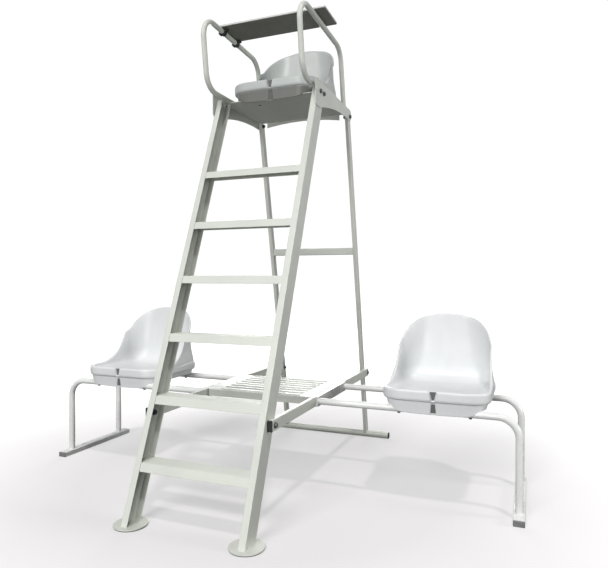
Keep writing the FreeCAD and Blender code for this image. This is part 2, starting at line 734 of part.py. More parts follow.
def apron_crescent():
    """Prism along Y that leaves the apron deepest in the middle of the front."""
    top = SEAT_RIM_Z + 1
    end = Vector(206, 0, 12)
    turn = Vector(172, 0, SEAT_APRON_Z + 11)
    low = Vector(120, 0, SEAT_APRON_Z + 2)

    def left(point):
        return Vector(-point.x, 0, point.z)

    edges = [
        Part.Arc(left(end), left(turn), left(low)).toShape(),
        Part.Arc(left(low), Vector(0, 0, SEAT_APRON_Z), low).toShape(),
        Part.Arc(low, turn, end).toShape(),
    ]
    corners = [end, Vector(end.x, 0, top), Vector(-end.x, 0, top), left(end)]
    edges += Part.makePolygon(corners).Edges
    return Part.Face(Part.Wire(edges)).extrude(Vector(0, SEAT_APRON_REACH, 0))


def bucket_seat():
    """Moulded seat: hollow pan with a front lip, a lower apron and a high wrapped back."""
    w = SEAT_HALF_W
    wall = SEAT_WALL
    upper = seat_blank(0).cut(seat_blank(wall))
    upper = upper.cut(seat_side_cutter()).common(seat_front_outline())
    rim = loft([
        (w - 7, 7, 446, 85, SEAT_RIM_Z),
        (w - 0.2, 0.2, 451.8, 91.8, SEAT_RIM_Z + 10),
        (w - 0.2, 0.2, 451.8, 91.8, SEAT_LIP_Z - 9),
    ], straight=True)
    dish = loft([
        (w - 60, 50, 405, 80, SEAT_DISH_Z),
        (w - 25, 22, 432, 90, SEAT_DISH_Z + 14),
        (w - wall, wall, 452 - wall, 92 - wall, SEAT_LIP_Z + 2),
    ])
    base = loft([
        (w - 20, 20, 434, 75, 0),
        (w - 14, 12, 440, 80, SEAT_RIM_Z + 1),
    ])
    apron = loft([
        (w - 22, 13, 200, 86, SEAT_APRON_Z),
        (w - 12, 7, 200, 88, SEAT_RIM_Z + 1),
    ])
    apron = apron.common(apron_crescent())
    hollow = loft([
        (w - 32, 18, 196, 76, SEAT_APRON_Z - 2),
        (w - 26, 18, 196, 76, 6),
    ])
    hollow = hollow.common(box(-w, w, 0, 80, SEAT_APRON_Z - 2, 0))
    cavity = loft([
        (w - 32, 32, 424, 66, -30),
        (w - 62, 50, 404, 66, SEAT_DISH_Z - wall),
    ])
    solid = rim.fuse([base, apron]).cut(hollow).cut(cavity).cut(dish)
    posts = [bar_z(15, x, y, 0, SEAT_DISH_Z - 1) for x, y in seat_holes(0, 0)]
    seat = solid.fuse(posts + [upper])
    seat = seat.cut(notch(13, 3.5, 40, SEAT_LIP_Z + 5, 9))
    seat = seat.cut(notch(7, 12, SEAT_APRON_Z - 2, 19, 24))
    for x, y in seat_holes(0, 0):
        seat = seat.cut(bar_z(SCREW_R, x, y, -5, SEAT_DISH_Z - 8))
    return seat.removeSplitter()


def seat_holes(seat_x, front_y):
    """Places of the four screws of a seat."""
    xs = (seat_x - SEAT_HOLE_X, seat_x + SEAT_HOLE_X)
    ys = (front_y + SEAT_HOLE_FRONT, front_y + SEAT_HOLE_REAR)
    return [(x, y) for x in xs for y in ys]


def placed_seat(seat, x, y, z):
    """Copy of the seat with its mounting face at height z."""
    copy = seat.copy()
    copy.translate(Vector(x, y, z))
    return copy


def seat_screws(places, under_z, mount_z):
    """Screws from under a support up into the seat's posts."""
    solids = []
    for x, y in places:
        shank = bar_z(SCREW_R, x, y, under_z, mount_z + SEAT_DISH_Z - 10)
        head = bar_z(SCREW_HEAD_R, x, y, under_z - SCREW_HEAD_T, under_z)
        solids.append(shank.fuse(head).removeSplitter())
    return Part.makeCompound(solids)


def pan_spacers(places):
    """Rings that hold the raised seat off the pan, one on each screw."""
    rings = []
    for x, y in places:
        ring = bar_z(SPACER_R, x, y, HEAD_Z, HEAD_Z + SPACER_T)
        rings.append(ring.cut(bar_z(SCREW_R, x, y, HEAD_Z - 1, HEAD_Z + SPACER_T + 1)))
    return Part.makeCompound(rings)


# --- bolts --------------------------------------------------------------------------------

def bolt(outer_x, inner_x, y, z, thread_end):
    """Hexagon bolt with a washer, pushed in from outer_x towards the middle of the chair."""
    washer = bar_x(WASHER_R, outer_x, outer_x + WASHER_T, y, z)
    head = hexagon_x(outer_x + WASHER_T, outer_x + WASHER_T + HEAD_T, y, z)
    shank = bar_x(BOLT_R, inner_x - thread_end, outer_x + WASHER_T + 1, y, z)
    return washer.fuse([head, shank]).removeSplitter()


def nut(inner_x, y, z):
    """Hexagon nut and washer on the inner end of a bolt."""
    washer = bar_x(WASHER_R, inner_x - WASHER_T, inner_x, y, z)
    body = hexagon_x(inner_x - WASHER_T - NUT_T, inner_x - WASHER_T, y, z)
    bore = bar_x(BOLT_R, inner_x - WASHER_T - NUT_T - 1, inner_x + 1, y, z)
    return washer.fuse(body).cut(bore).removeSplitter()


def bolted_joints():
    """(outer_x, inner_x, y, z) of each through bolt on the right side, by group."""
    web_x = STILE_OUTER_X - STILE_WALL
    leg_x = LEG_X - LEG_W / 2
    head = [(PLATE_OUTER_X, web_x, y, HEAD_BOLT_Z) for y in HEAD_BOLT_YS]
    leg = [(PLATE_OUTER_X, leg_x, leg_y(HEAD_BOLT_Z), HEAD_BOLT_Z)]
    front = [(RAIL_OUTER_X, web_x, RAIL_FRONT_BOLT_Y, RAIL_Z)]
    rear = [(RAIL_OUTER_X, leg_x, leg_y(RAIL_Z), RAIL_Z)]
    return {"head": head, "leg": leg, "rail_front": front, "rail_rear": rear}


def both_sides(solids):
    """Compound of the solids and their mirror images."""
    return Part.makeCompound(solids + [mirrored(s) for s in solids])


def bench_bolts():
    """Bolts from inside the shelf through the rails into the bench bars."""
    solids = []
    inner_x = RAIL_INNER_X - SHELF_T
    for y in BENCH_BOLT_YS:
        washer = bar_x(WASHER_R - 2, inner_x - WASHER_T, inner_x, y, RAIL_Z)
        head = hexagon_x(inner_x - WASHER_T - HEAD_T, inner_x - WASHER_T, y, RAIL_Z)
        shank = bar_x(BOLT_R, inner_x - WASHER_T - 1, RAIL_OUTER_X + BENCH_BAR_T - 2, y, RAIL_Z)
        solids.append(washer.fuse([head, shank]).removeSplitter())
    return both_sides(solids)


def build_nodes():
    """Every sub-part by the name of its node."""
    nodes = {}
    pairs = {
        "stile": right_stile(),
        "foot_plate": right_foot_plate(),
        "foot_pad": right_foot_pad(),
        "side_plate": right_side_plate(),
        "armrest": right_armrest(),
        "rear_leg": right_rear_leg(),
        "rail": right_rail(),
        "bench_bar": right_bench_bar(),
        "bench_front_tube": right_bench_tube(BENCH_FRONT_Y),
        "bench_rear_tube": right_bench_tube(BENCH_REAR_Y),
        "bench_floor_bar": right_bench_floor_bar(),
    }
    for name, shape in pairs.items():
        nodes["right_" + name] = shape
        nodes["left_" + name] = mirrored(shape)
    for i in range(STEP_COUNT):
        nodes["step_%d" % (i + 1)] = step(i)

    seat = bucket_seat()
    bench_mount_z = BENCH_TUBE_Z + BENCH_TUBE_R
    nodes["umpire_seat"] = placed_seat(seat, 0, UMPIRE_SEAT_FRONT_Y, HEAD_Z + SPACER_T)
    nodes["right_player_seat"] = placed_seat(seat, BENCH_SEAT_X, BENCH_SEAT_FRONT_Y, bench_mount_z)
    nodes["left_player_seat"] = placed_seat(seat, -BENCH_SEAT_X, BENCH_SEAT_FRONT_Y, bench_mount_z)
    umpire_places = seat_holes(0, UMPIRE_SEAT_FRONT_Y)
    nodes["umpire_seat_screws"] = seat_screws(umpire_places, HEAD_Z - PAN_T, HEAD_Z + SPACER_T)
    nodes["pan_spacers"] = pan_spacers(umpire_places)
    player_places = []
    for side in (-1, 1):
        player_places += seat_holes(side * BENCH_SEAT_X, BENCH_SEAT_FRONT_Y)
    under_tube_z = BENCH_TUBE_Z - BENCH_TUBE_R
    nodes["player_seat_screws"] = seat_screws(player_places, under_tube_z, bench_mount_z)

    nodes["seat_pan"] = seat_pan()
    nodes["armrest_plugs"] = armrest_plugs()
    nodes["desk_board"] = desk_board()
    nodes["front_desk_clip"] = desk_clip(0)
    nodes["rear_desk_clip"] = desk_clip(1)
    nodes["desk_clip_screws"] = desk_clip_screws()
    nodes["rear_crossbar"] = rear_crossbar()
    nodes["rear_floor_bar"] = rear_floor_bar()
    nodes["floor_bar_plugs"] = floor_bar_plugs()
    nodes["rail_plugs"] = rail_plugs()
    nodes["shelf_panel"] = shelf_panel()
    nodes["bench_plugs"] = bench_plugs()
    nodes["bench_bolts"] = bench_bolts()
    for group, places in bolted_joints().items():
        bolts = [bolt(outer, inner, y, z, WASHER_T + NUT_T + 3) for outer, inner, y, z in places]
        nuts = [nut(inner, y, z) for outer, inner, y, z in places]
        nodes[group + "_bolts"] = both_sides(bolts)
        nodes[group + "_nuts"] = both_sides(nuts)
    return nodes


for name, shape in build_nodes().items():
    if not shape.isValid():
        raise ValueError("invalid shape: " + name)
    shape.exportStep("parts/" + name + ".step")
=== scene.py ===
"""Tennis umpire's chair with a flip-over desk, a shelf and a bucket seat on a bench at each side.

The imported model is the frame: places come from its boxes. The visible pieces are rebuilt here with
rolled edges, weld beads and moulded seats, in metres, and each rides on the body of its CAD node.
X runs across the chair, +Y to the rear, +Z up. Local helpers take millimetres where they say so.
"""
import bpy
import bmesh
import math
from mathutils import Matrix, Vector
from mathutils.geometry import tessellate_polygon


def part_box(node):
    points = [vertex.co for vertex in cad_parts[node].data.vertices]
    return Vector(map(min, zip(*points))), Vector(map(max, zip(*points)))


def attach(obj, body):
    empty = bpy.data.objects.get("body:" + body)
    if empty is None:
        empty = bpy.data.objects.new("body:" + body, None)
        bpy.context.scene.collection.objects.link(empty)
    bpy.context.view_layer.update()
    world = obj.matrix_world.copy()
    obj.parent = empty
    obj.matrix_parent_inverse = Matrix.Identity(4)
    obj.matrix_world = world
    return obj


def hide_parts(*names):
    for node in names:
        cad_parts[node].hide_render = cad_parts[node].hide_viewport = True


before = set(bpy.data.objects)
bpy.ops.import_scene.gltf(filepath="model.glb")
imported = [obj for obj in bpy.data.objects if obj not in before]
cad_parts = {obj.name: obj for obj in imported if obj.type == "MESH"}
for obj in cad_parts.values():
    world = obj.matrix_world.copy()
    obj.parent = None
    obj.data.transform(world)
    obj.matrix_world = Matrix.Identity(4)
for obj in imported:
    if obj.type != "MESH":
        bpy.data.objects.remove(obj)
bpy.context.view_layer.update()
MM = 0.001
HOLE_SIDES = 24

# --- driving dimensions, in millimetres ---
STILE_RUN = 88.0
STILE_FLANGE = 29.0
STILE_WALL = 3.0
SHEET_R = 3.0
LEG_SLOPE = 0.2092
LEG_W, LEG_D = 20.0, 40.0
TUBE_WALL = 2.0
ARM_BEND_R = 88.0
ARM_R = 13.0
ARM_WALL = 2.0
DESK_SLOPE = 0.043
BENCH_BEND_R = 86.0
STEP_COUNT = 6
STEP_RIBS = 8
SHELF_RIBS = 8
RAIL_TOP_Z = 2217.3
SEAT_TOP = 377.0
BELT_TOP = 76.0
BELT_BOTTOM = 27.0
APRON_SHADE_DROP = 0.5
SIDE_PLATE_REAR_R = 31.0
SIDE_PLATE_REAR_Z = 1868.0
SIDE_PLATE_CORNER = 22.0
PAN_T = 3.0
CORNER_CUT = 1 - math.sqrt(0.5)


# --- measures taken from the frame ---------------------------------------------------------

def box_mm(node):
    """Lowest and highest corner of a CAD node in millimetres."""
    lo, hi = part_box(node)
    return lo / MM, hi / MM


def middle_and_half(node):
    """Middle and half size of a CAD node in millimetres."""
    lo, hi = box_mm(node)
    return (lo + hi) / 2, (hi - lo) / 2


def solids(node):
    """Middle and half size, in millimetres, of each separate solid of a CAD node."""
    bm = bmesh.new()
    bm.from_mesh(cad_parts[node].data)
    bmesh.ops.remove_doubles(bm, verts=bm.verts, dist=1e-6)
    left = set(bm.verts)
    boxes = []
    while left:
        stack = [left.pop()]
        found = []
        while stack:
            vert = stack.pop()
            found.append(vert.co / MM)
            for edge in vert.link_edges:
                other = edge.other_vert(vert)
                if other in left:
                    left.remove(other)
                    stack.append(other)
        lo = Vector([min(p[i] for p in found) for i in range(3)])
        hi = Vector([max(p[i] for p in found) for i in range(3)])
        boxes.append((lo, hi))
    bm.free()
    return [((lo + hi) / 2, (hi - lo) / 2) for lo, hi in sorted(boxes, key=lambda b: tuple(b[0]))]


# --- mesh helpers, all in millimetres -------------------------------------------------------

def arc3(a, m, b, steps=8):
    """Points of the arc from a through m to b, in the plane, without the first point."""
    ax, ay = a
    bx, by = b
    mx, my = m
    d = 2 * (ax * (my - by) + mx * (by - ay) + bx * (ay - my))
    ux = ((ax**2 + ay**2) * (my - by) + (mx**2 + my**2) * (by - ay) + (bx**2 + by**2) * (ay - my)) / d
    uy = ((ax**2 + ay**2) * (bx - mx) + (mx**2 + my**2) * (ax - bx) + (bx**2 + by**2) * (mx - ax)) / d
    r = math.hypot(ax - ux, ay - uy)
    start = math.atan2(ay - uy, ax - ux)
    middle = (math.atan2(my - uy, mx - ux) - start) % (2 * math.pi)
    end = (math.atan2(by - uy, bx - ux) - start) % (2 * math.pi)
    if middle > end:
        end -= 2 * math.pi
    turns = [start + end * i / steps for i in range(1, steps + 1)]
    return [(ux + r * math.cos(t), uy + r * math.sin(t)) for t in turns]


def rounded(corners, steps=4):
    """Closed outline from (u, v, radius) corners, each rounded by an arc of its radius."""
    outline = []
    count = len(corners)
    for i, (u, v, radius) in enumerate(corners):
        here = Vector((u, v))
        before = Vector(corners[i - 1][:2])
        after = Vector(corners[(i + 1) % count][:2])
        if radius <= 0:
            outline.append((u, v))
            continue
        back = (before - here).normalized()
        ahead = (after - here).normalized()
        half = back.angle(ahead) / 2
        cut = radius / math.tan(half)
        middle = here + (back + ahead).normalized() * (radius / math.sin(half) - radius)
        first = tuple(here + back * cut)
        outline.append(first)
        outline += arc3(first, tuple(middle), tuple(here + ahead * cut), steps)
    return outline


def inset(outline, distance):
    """The outline moved inwards by a distance; it runs anticlockwise or clockwise."""
    area = sum(a[0] * b[1] - b[0] * a[1] for a, b in zip(outline, outline[1:] + outline[:1]))
    side = 1 if area > 0 else -1
    count = len(outline)
    moved = []
    for i in range(count):
        here = Vector(outline[i])
        back = (here - Vector(outline[i - 1])).normalized()
        ahead = (Vector(outline[(i + 1) % count]) - here).normalized()
        n0 = Vector((-back.y, back.x)) * side
        n1 = Vector((-ahead.y, ahead.x)) * side
        joint = n0 + n1
        joint /= max(joint.length_squared / 2, 0.4)
        moved.append(tuple(here + joint * distance))
    return moved


def polar(radius, count, middle=(0.0, 0.0)):
    """Points of a circle about a middle."""
    turns = [2 * math.pi * k / count for k in range(count)]
    return [(middle[0] + radius * math.cos(a), middle[1] + radius * math.sin(a)) for a in turns]


def rectangle(half_u, half_v, radius, steps=4):
    """Outline of a rectangle with round corners about the middle."""
    corners = [(-half_u, -half_v), (half_u, -half_v), (half_u, half_v), (-half_u, half_v)]
    return rounded([(u, v, radius) for u, v in corners], steps)


def skin(rings, cap=True, loop=False):
    """(vertices, faces) of a surface through rings of equally many points, in millimetres."""
    count = len(rings[0])
    verts = [Vector(p) * MM for ring in rings for p in ring]
    faces = []
    spans = len(rings) if loop else len(rings) - 1
    for i in range(spans):
        a = i * count
        b = ((i + 1) % len(rings)) * count
        for k in range(count):
            j = (k + 1) % count
            faces.append((a + k, a + j, b + j, b + k))
    if cap and not loop:
        faces.append(tuple(range(count - 1, -1, -1)))
        last = (len(rings) - 1) * count
        faces.append(tuple(range(last, last + count)))
    return verts, faces


def merged(parts):
    """One (vertices, faces) from several."""
    verts = []
    faces = []
    for part_verts, part_faces in parts:
        start = len(verts)
        verts += part_verts
        faces += [tuple(start + i for i in face) for face in part_faces]
    return verts, faces


def mirrored(part):
    """The part on the other side of the chair."""
    verts, faces = part
    return [Vector((-v.x, v.y, v.z)) for v in verts], faces


def bar(outline, place, start, end, edge=0.8, hollow=0.0):
    """Bar of a constant outline; place(u, v, t) gives the point, with t from start to end.

    The end edges are broken by the edge length. A hollow bar has walls of that thickness.
    """
    def ring(points, t):
        return [place(u, v, t) for u, v in points]

    if hollow:
        wall = inset(outline, hollow)
        thin = inset(outline, edge)
        rings = [
            ring(thin, start), ring(outline, start + edge), ring(outline, end - edge),
            ring(thin, end), ring(wall, end), ring(wall, start),
        ]
        return skin(rings, loop=True)
    thin = inset(outline, edge)
    soft = inset(outline, edge * 0.3)
    rings = [
        ring(thin, start), ring(soft, start + edge * 0.3), ring(outline, start + edge),
        ring(outline, end - edge), ring(soft, end - edge * 0.3), ring(thin, end),
    ]
    return skin(rings)


def box_bar(node, corner, run=1):
    """Outline, place function, start and end of a straight bar that runs along X (0) or Y (1)."""
    middle, half = middle_and_half(node)
    across = 1 - run

    def place(u, v, t):
        return (t, middle.y + u, middle.z + v) if run == 0 else (middle.x + u, t, middle.z + v)

    outline = rectangle(half[across], half.z, corner)
    return outline, place, middle[run] - half[run], middle[run] + half[run]


def plate(outline, holes, place, start, end, edge):
    """Flat plate with round through holes, given as (u, v, radius), and broken edges."""
    loops = [outline] + [polar(radius, HOLE_SIDES, (u, v)) for u, v, radius in holes]
    rims = [inset(outline, edge)] + [polar(radius + edge, HOLE_SIDES, (u, v)) for u, v, radius in holes]
    parts = []
    for loop, rim in zip(loops, rims):
        levels = [(rim, start), (loop, start + edge), (loop, end - edge), (rim, end)]
        parts.append(skin([[place(u, v, t) for u, v in ring] for ring, t in levels], cap=False))
    triangles = tessellate_polygon([[Vector((u, v, 0)) for u, v in rim] for rim in rims])
    for t in (start, end):
        face = [Vector(place(u, v, t)) * MM for rim in rims for u, v in rim]
        parts.append((face, [tuple(triangle) for triangle in triangles]))
    return merged(parts)


def along_x(u, v, t):
    return (t, u, v)


def along_y(u, v, t):
    return (u, t, v)


def along_z(u, v, t):
    return (u, v, t)


def route(points, radius, steps=12):
    """Points along straight runs joined by arcs, with no doubled point."""
    points = [Vector(p) for p in points]
    line = [points[0]]
    for before, here, after in zip(points, points[1:], points[2:]):
        back = (before - here).normalized()
        ahead = (after - here).normalized()
        half = back.angle(ahead) / 2
        cut = radius / math.tan(half)
        middle = here + (back + ahead).normalized() * (radius / math.sin(half))
        a = here + back * cut - middle
        turn = math.pi - 2 * half
        axis = a.cross(here + ahead * cut - middle).normalized()
        for i in range(steps + 1):
            line.append(middle + Matrix.Rotation(turn * i / steps, 3, axis) @ a)
    line.append(points[-1])
    return line


def tube(line, radius, wall=0.0, sides=40, closed=False, swell=None):
    """Round tube along a line in one plane; swell(i) may change the radius at a point."""
    count = len(line)
    tangents = []
    for i in range(count):
        before = line[i - 1] if closed or i > 0 else line[0]
        after = line[(i + 1) % count] if closed or i < count - 1 else line[-1]
        tangents.append((after - before).normalized())
    normal = tangents[0].orthogonal().normalized()
    rings = []
    inner = []
    for i, (point, tangent) in enumerate(zip(line, tangents)):
        normal = (normal - tangent * normal.dot(tangent)).normalized()
        side = tangent.cross(normal)
        r = radius * (swell(i) if swell else 1.0)
        rings.append([point + normal * u + side * v for u, v in polar(r, sides)])
        inner.append([point + normal * u + side * v for u, v in polar(r - wall, sides)])
    if closed:
        return skin(rings, loop=True)
    if wall:
        return skin(rings + inner[::-1], loop=True)
    return skin(rings)


def lathe(profile, centre, axis, sides=48, ring=False):
    """Turned solid, or ring, from (along, radius) points about an axis through the centre."""
    direction = Vector(axis).normalized()
    normal = direction.orthogonal().normalized()
    other = direction.cross(normal)
    rings = []
    for along, radius in profile:
        middle = Vector(centre) + direction * along
        rings.append([middle + normal * u + other * v for u, v in polar(radius, sides)])
    return skin(rings, loop=ring)


def linked(name, data, at=(0, 0, 0)):
    """New object in the scene."""
    obj = bpy.data.objects.new(name, data)
    obj.location = at
    bpy.context.scene.collection.objects.link(obj)
    return obj


def piece(name, part, material, nodes=(), body="chair", smooth=38.0, weighted=True):
    """Object from (vertices, faces) that rides on the body and stands for the CAD nodes."""
    verts, faces = part
    mesh = bpy.data.meshes.new(name)
    mesh.from_pydata([tuple(v) for v in verts], [], faces)
    bm = bmesh.new()
    bm.from_mesh(mesh)
    bmesh.ops.remove_doubles(bm, verts=bm.verts, dist=1e-7)
    bmesh.ops.recalc_face_normals(bm, faces=bm.faces)
    bm.to_mesh(mesh)
    bm.free()
    mesh.shade_smooth()
    mesh.set_sharp_from_angle(angle=math.radians(smooth))
    mesh.materials.append(material[0])
    obj = linked(name, mesh)
    if weighted:
        modifier = obj.modifiers.new("flat_faces_stay_flat", "WEIGHTED_NORMAL")
        modifier.keep_sharp = True
    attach(obj, body)
    if nodes:
        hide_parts(*nodes)
    return obj


def both_sides(name, part, material, node, **options):
    """The right-hand piece and its mirror image, each standing for its own CAD node."""
    piece("right_" + name, part, material, ["right_" + node], **options)
    piece("left_" + name, mirrored(part), material, ["left_" + node], **options)


# --- materials ------------------------------------------------------------------------------

def node_material(name):
    """New material with its nodes, its shader and its object coordinates."""
    material = bpy.data.materials.new(name)
    material.use_nodes = True
    nodes = material.node_tree.nodes
    shader = nodes["Principled BSDF"]
    place = nodes.new("ShaderNodeTexCoord")
    return material, nodes, material.node_tree.links, shader, place.outputs["Object"]


def filled(node, values):
    """The node with some of its inputs set."""
    for socket, value in values.items():
        node.inputs[socket].default_value = value
    return node


def noise_node(nodes, links, place, scale, detail=3.0, roughness=0.5):
    values = {"Scale": scale, "Detail": detail, "Roughness": roughness}
    texture = filled(nodes.new("ShaderNodeTexNoise"), values)
    links.new(place, texture.inputs["Vector"])
    return texture.outputs["Fac"]


def ranged(nodes, links, value, low, high, start=0.35, end=0.65):
    """The value spread from low to high between two levels of a noise."""
    values = {"From Min": start, "From Max": end, "To Min": low, "To Max": high}
    spread = filled(nodes.new("ShaderNodeMapRange"), values)
    links.new(value, spread.inputs["Value"])
    return spread.outputs["Result"]


def two_colours(nodes, links, factor, first, second):
    """Mix of two colours; the second may also be the output of a node."""
    mix = nodes.new("ShaderNodeMix")
    mix.data_type = "RGBA"
    mix.inputs["A"].default_value = (*first, 1)
    if isinstance(second, tuple):
        mix.inputs["B"].default_value = (*second, 1)
    else:
        links.new(second, mix.inputs["B"])
    links.new(factor, mix.inputs["Factor"])
    return mix.outputs["Result"]


def bumped(nodes, links, shader, height, distance):
    bump = filled(nodes.new("ShaderNodeBump"), {"Distance": distance, "Strength": 1.0})
    links.new(height, bump.inputs["Height"])
    links.new(bump.outputs["Normal"], shader.inputs["Normal"])


def finish_material(name, colour, shade, roughness, grain_scale, grain_depth, metallic=0.0,
                    patch_scale=6.0, foot=None):
    """Coated or moulded surface: slow colour drift, uneven gloss and a fine grain.

    A foot is (height in metres, colour): below the height the surface takes that colour as painted shade.
    """
    material, nodes, links, shader, place = node_material(name)
    drift = ranged(nodes, links, noise_node(nodes, links, place, patch_scale, 4.0), 0.0, 1.0)
    paint = two_colours(nodes, links, drift, colour, shade)
    # painted shade: below the foot height the paint turns to the foot colour, a dark grey that stands in for
    # shade
    if foot:
        height, shade_colour = foot
        parts = nodes.new("ShaderNodeSeparateXYZ")
        links.new(place, parts.inputs["Vector"])
        above = ranged(nodes, links, parts.outputs["Z"], 0.0, 1.0, height - 0.003, height)
        paint = two_colours(nodes, links, above, shade_colour, paint)
    links.new(paint, shader.inputs["Base Color"])
    handling = noise_node(nodes, links, place, patch_scale * 4, 5.0, 0.6)
    links.new(ranged(nodes, links, handling, roughness[0], roughness[1]), shader.inputs["Roughness"])
    shader.inputs["Metallic"].default_value = metallic
    grain = noise_node(nodes, links, place, grain_scale, 2.0)
    bumped(nodes, links, shader, grain, grain_depth)
    return material


# Each finish is (material, slot): two paint colours, range of roughness, scale and depth of the grain.
GREY_COAT = (finish_material("grey_powder_coat", (0.64, 0.66, 0.60), (0.60, 0.62, 0.57), (0.34, 0.46),
                             700.0, 0.00004), "grey_coat")
WHITE_COAT = (finish_material("white_gloss_coat", (0.83, 0.84, 0.82), (0.79, 0.80, 0.785), (0.22, 0.34),
                              500.0, 0.00003), "white_coat")
WHITE_SEAT = (finish_material("white_moulded_seat", (0.745, 0.76, 0.765), (0.72, 0.73, 0.735), (0.30, 0.40),
                              1200.0, 0.00002), "player_seat_shell")
UMPIRE_LO, UMPIRE_HI = box_mm("umpire_seat")
UMPIRE_MOUNT_Z = UMPIRE_HI.z - SEAT_TOP
# painted shade: the umpire seat's apron below its belt is painted dark grey for the shade that falls under
# the belt
UMPIRE_APRON_PAINTED_SHADE = ((UMPIRE_MOUNT_Z + BELT_BOTTOM - APRON_SHADE_DROP) * MM, (0.16, 0.163, 0.15))
GREY_SEAT = (finish_material("grey_moulded_seat", (0.49, 0.515, 0.505), (0.46, 0.48, 0.465), (0.30, 0.40),
                             1200.0, 0.00002, foot=UMPIRE_APRON_PAINTED_SHADE), "umpire_seat_shell")
BLACK = (finish_material("black_polymer", (0.012, 0.012, 0.012), (0.02, 0.02, 0.021), (0.42, 0.60),
                         900.0, 0.00008), "black_plastic")
GREY_PLUG = (finish_material("grey_polymer", (0.20, 0.20, 0.20), (0.25, 0.25, 0.25), (0.40, 0.55),
                             900.0, 0.00006), "grey_plug")
RUBBER = (finish_material("pad_rubber", (0.03, 0.03, 0.03), (0.045, 0.044, 0.042), (0.65, 0.85),
                          1200.0, 0.0001), "pad_rubber")
STEEL = (finish_material("dark_plated_steel", (0.10, 0.10, 0.105), (0.16, 0.16, 0.165), (0.28, 0.42),
                         1500.0, 0.00003, metallic=0.85, patch_scale=60.0), "dark_fastener")
DESK_FACE = (finish_material("desk_laminate", (0.62, 0.625, 0.60), (0.58, 0.585, 0.565), (0.36, 0.48),
                             600.0, 0.00005), "desk_board")
# painted shade: dark grey for the sheets at the back of the seat notches
NOTCH_SHADE = (finish_material("notch_painted_shade", (0.12, 0.12, 0.118), (0.16, 0.16, 0.158), (0.7, 0.85),
                               900.0, 0.00005), "grey_plug")
# darker grey for a thin layer under the writing board
DESK_UNDERSIDE = (finish_material("desk_dark_underside", (0.20, 0.197, 0.175), (0.178, 0.175, 0.157), (0.45, 0.6),
                             500.0, 0.00008), "desk_board")


# --- ladder ---------------------------------------------------------------------------------

STILE_LO, STILE_HI = box_mm("right_stile")
STILE_OUT = STILE_HI.x
STILE_RISE = STILE_HI.z - STILE_LO.z
LEAN = (STILE_HI.y - STILE_LO.y - STILE_RUN) / STILE_RISE
FLANGE_RUN = STILE_WALL * math.hypot(1.0, LEAN)


def stile_y(z):
    """Y of the front face of the ladder at height z."""
    return STILE_LO.y + LEAN * (z - STILE_LO.z)


def leaning(u, v, t):
    """Point of a level outline (x, run behind the stile front) at height t."""
    return (u, stile_y(t) + v, t)


def channel_outline():
    """Level section of the right stile: web outside, flanges inwards, edges rolled."""
    x0 = STILE_OUT - STILE_FLANGE
    x1 = STILE_OUT
    w = STILE_WALL
    f = FLANGE_RUN
    free = 1.2
    corners = [
        (x0, 0, free), (x1, 0, SHEET_R), (x1, STILE_RUN, SHEET_R), (x0, STILE_RUN, free),
        (x0, STILE_RUN - f, free), (x1 - w, STILE_RUN - f, 1.5), (x1 - w, f, 1.5), (x0, f, free),
    ]
    return rounded(corners)


both_sides("stile_channel", bar(channel_outline(), leaning, STILE_LO.z, STILE_HI.z, 0.6),
           GREY_COAT, "stile")


def tread_outline(depth, height):
    """Side section of a tread about its front top edge, as (run, z): ribbed deck and two skirts."""
    wall = 2.7
    rib_h = 2.4
    margin = 3.0
    pitch = (depth - 2 * margin) / STEP_RIBS
    rib = ((0.08, -rib_h), (0.40, -rib_h), (0.46, -0.5), (0.52, 0.0), (0.86, 0.0), (0.94, -0.5))
    points = [(0.0, -height + 1), (0.0, -3.0), (0.8, -1.0), (2.6, -rib_h * 0.3)]
    for i in range(STEP_RIBS):
        start = margin + i * pitch
        points += [(start + share * pitch, level) for share, level in rib]
    points += [(depth - 2.6, -rib_h * 0.3), (depth - 0.8, -1.0), (depth, -3.0), (depth, -height + 1)]
    points += [(depth - 1, -height), (depth - wall + 0.6, -height), (depth - wall, -height + 1)]
    points += [(depth - wall, -8.0), (depth - wall - 2, -5.2), (wall + 2, -5.2), (wall, -8.0)]
    points += [(wall, -height + 1), (wall - 0.6, -height), (1.0, -height)]
    return points


def tread(index):
    """One tread between the webs of the stiles."""
    lo, hi = box_mm("step_%d" % (index + 1))
    depth = STILE_RUN - 2 * FLANGE_RUN

    def place(u, v, t):
        z = hi.z + v
        return (t, stile_y(z) + FLANGE_RUN + u, z)

    return bar(tread_outline(depth, hi.z - lo.z), place, lo.x, hi.x, 0.3)


for i in range(STEP_COUNT):
    piece("tread_%d" % (i + 1), tread(i), GREY_COAT, ["step_%d" % (i + 1)])


def disc(node, edge):
    """Round plate with a softened upper edge, as large as its CAD node."""
    middle, half = middle_and_half(node)
    r = half.x
    t = 2 * half.z
    profile = [(0.0, r - 0.5), (0.5, r), (t - edge, r), (t - edge * 0.3, r - edge * 0.3), (t, r - edge)]
    return lathe(profile, (middle.x, middle.y, middle.z - half.z), (0, 0, 1), 96)


both_sides("foot_disc", disc("right_foot_plate", 1.6), GREY_COAT, "foot_plate")
both_sides("foot_rubber", disc("right_foot_pad", 0.6), RUBBER, "foot_pad")


# --- seat head ------------------------------------------------------------------------------

HEAD_Z = STILE_HI.z
PLATE_LO, PLATE_HI = box_mm("right_side_plate")
PAN_LO, PAN_HI = box_mm("seat_pan")
FLOOR_BAR_LO, FLOOR_BAR_HI = box_mm("rear_floor_bar")
FLOOR_BAR_R = (FLOOR_BAR_HI.z - FLOOR_BAR_LO.z) / 2
FLOOR_BAR_Y = (FLOOR_BAR_HI.y + FLOOR_BAR_LO.y) / 2


def leg_y(z):
    """Y of the middle of the rear legs at height z."""
    return FLOOR_BAR_Y - LEG_SLOPE * (z - FLOOR_BAR_R)


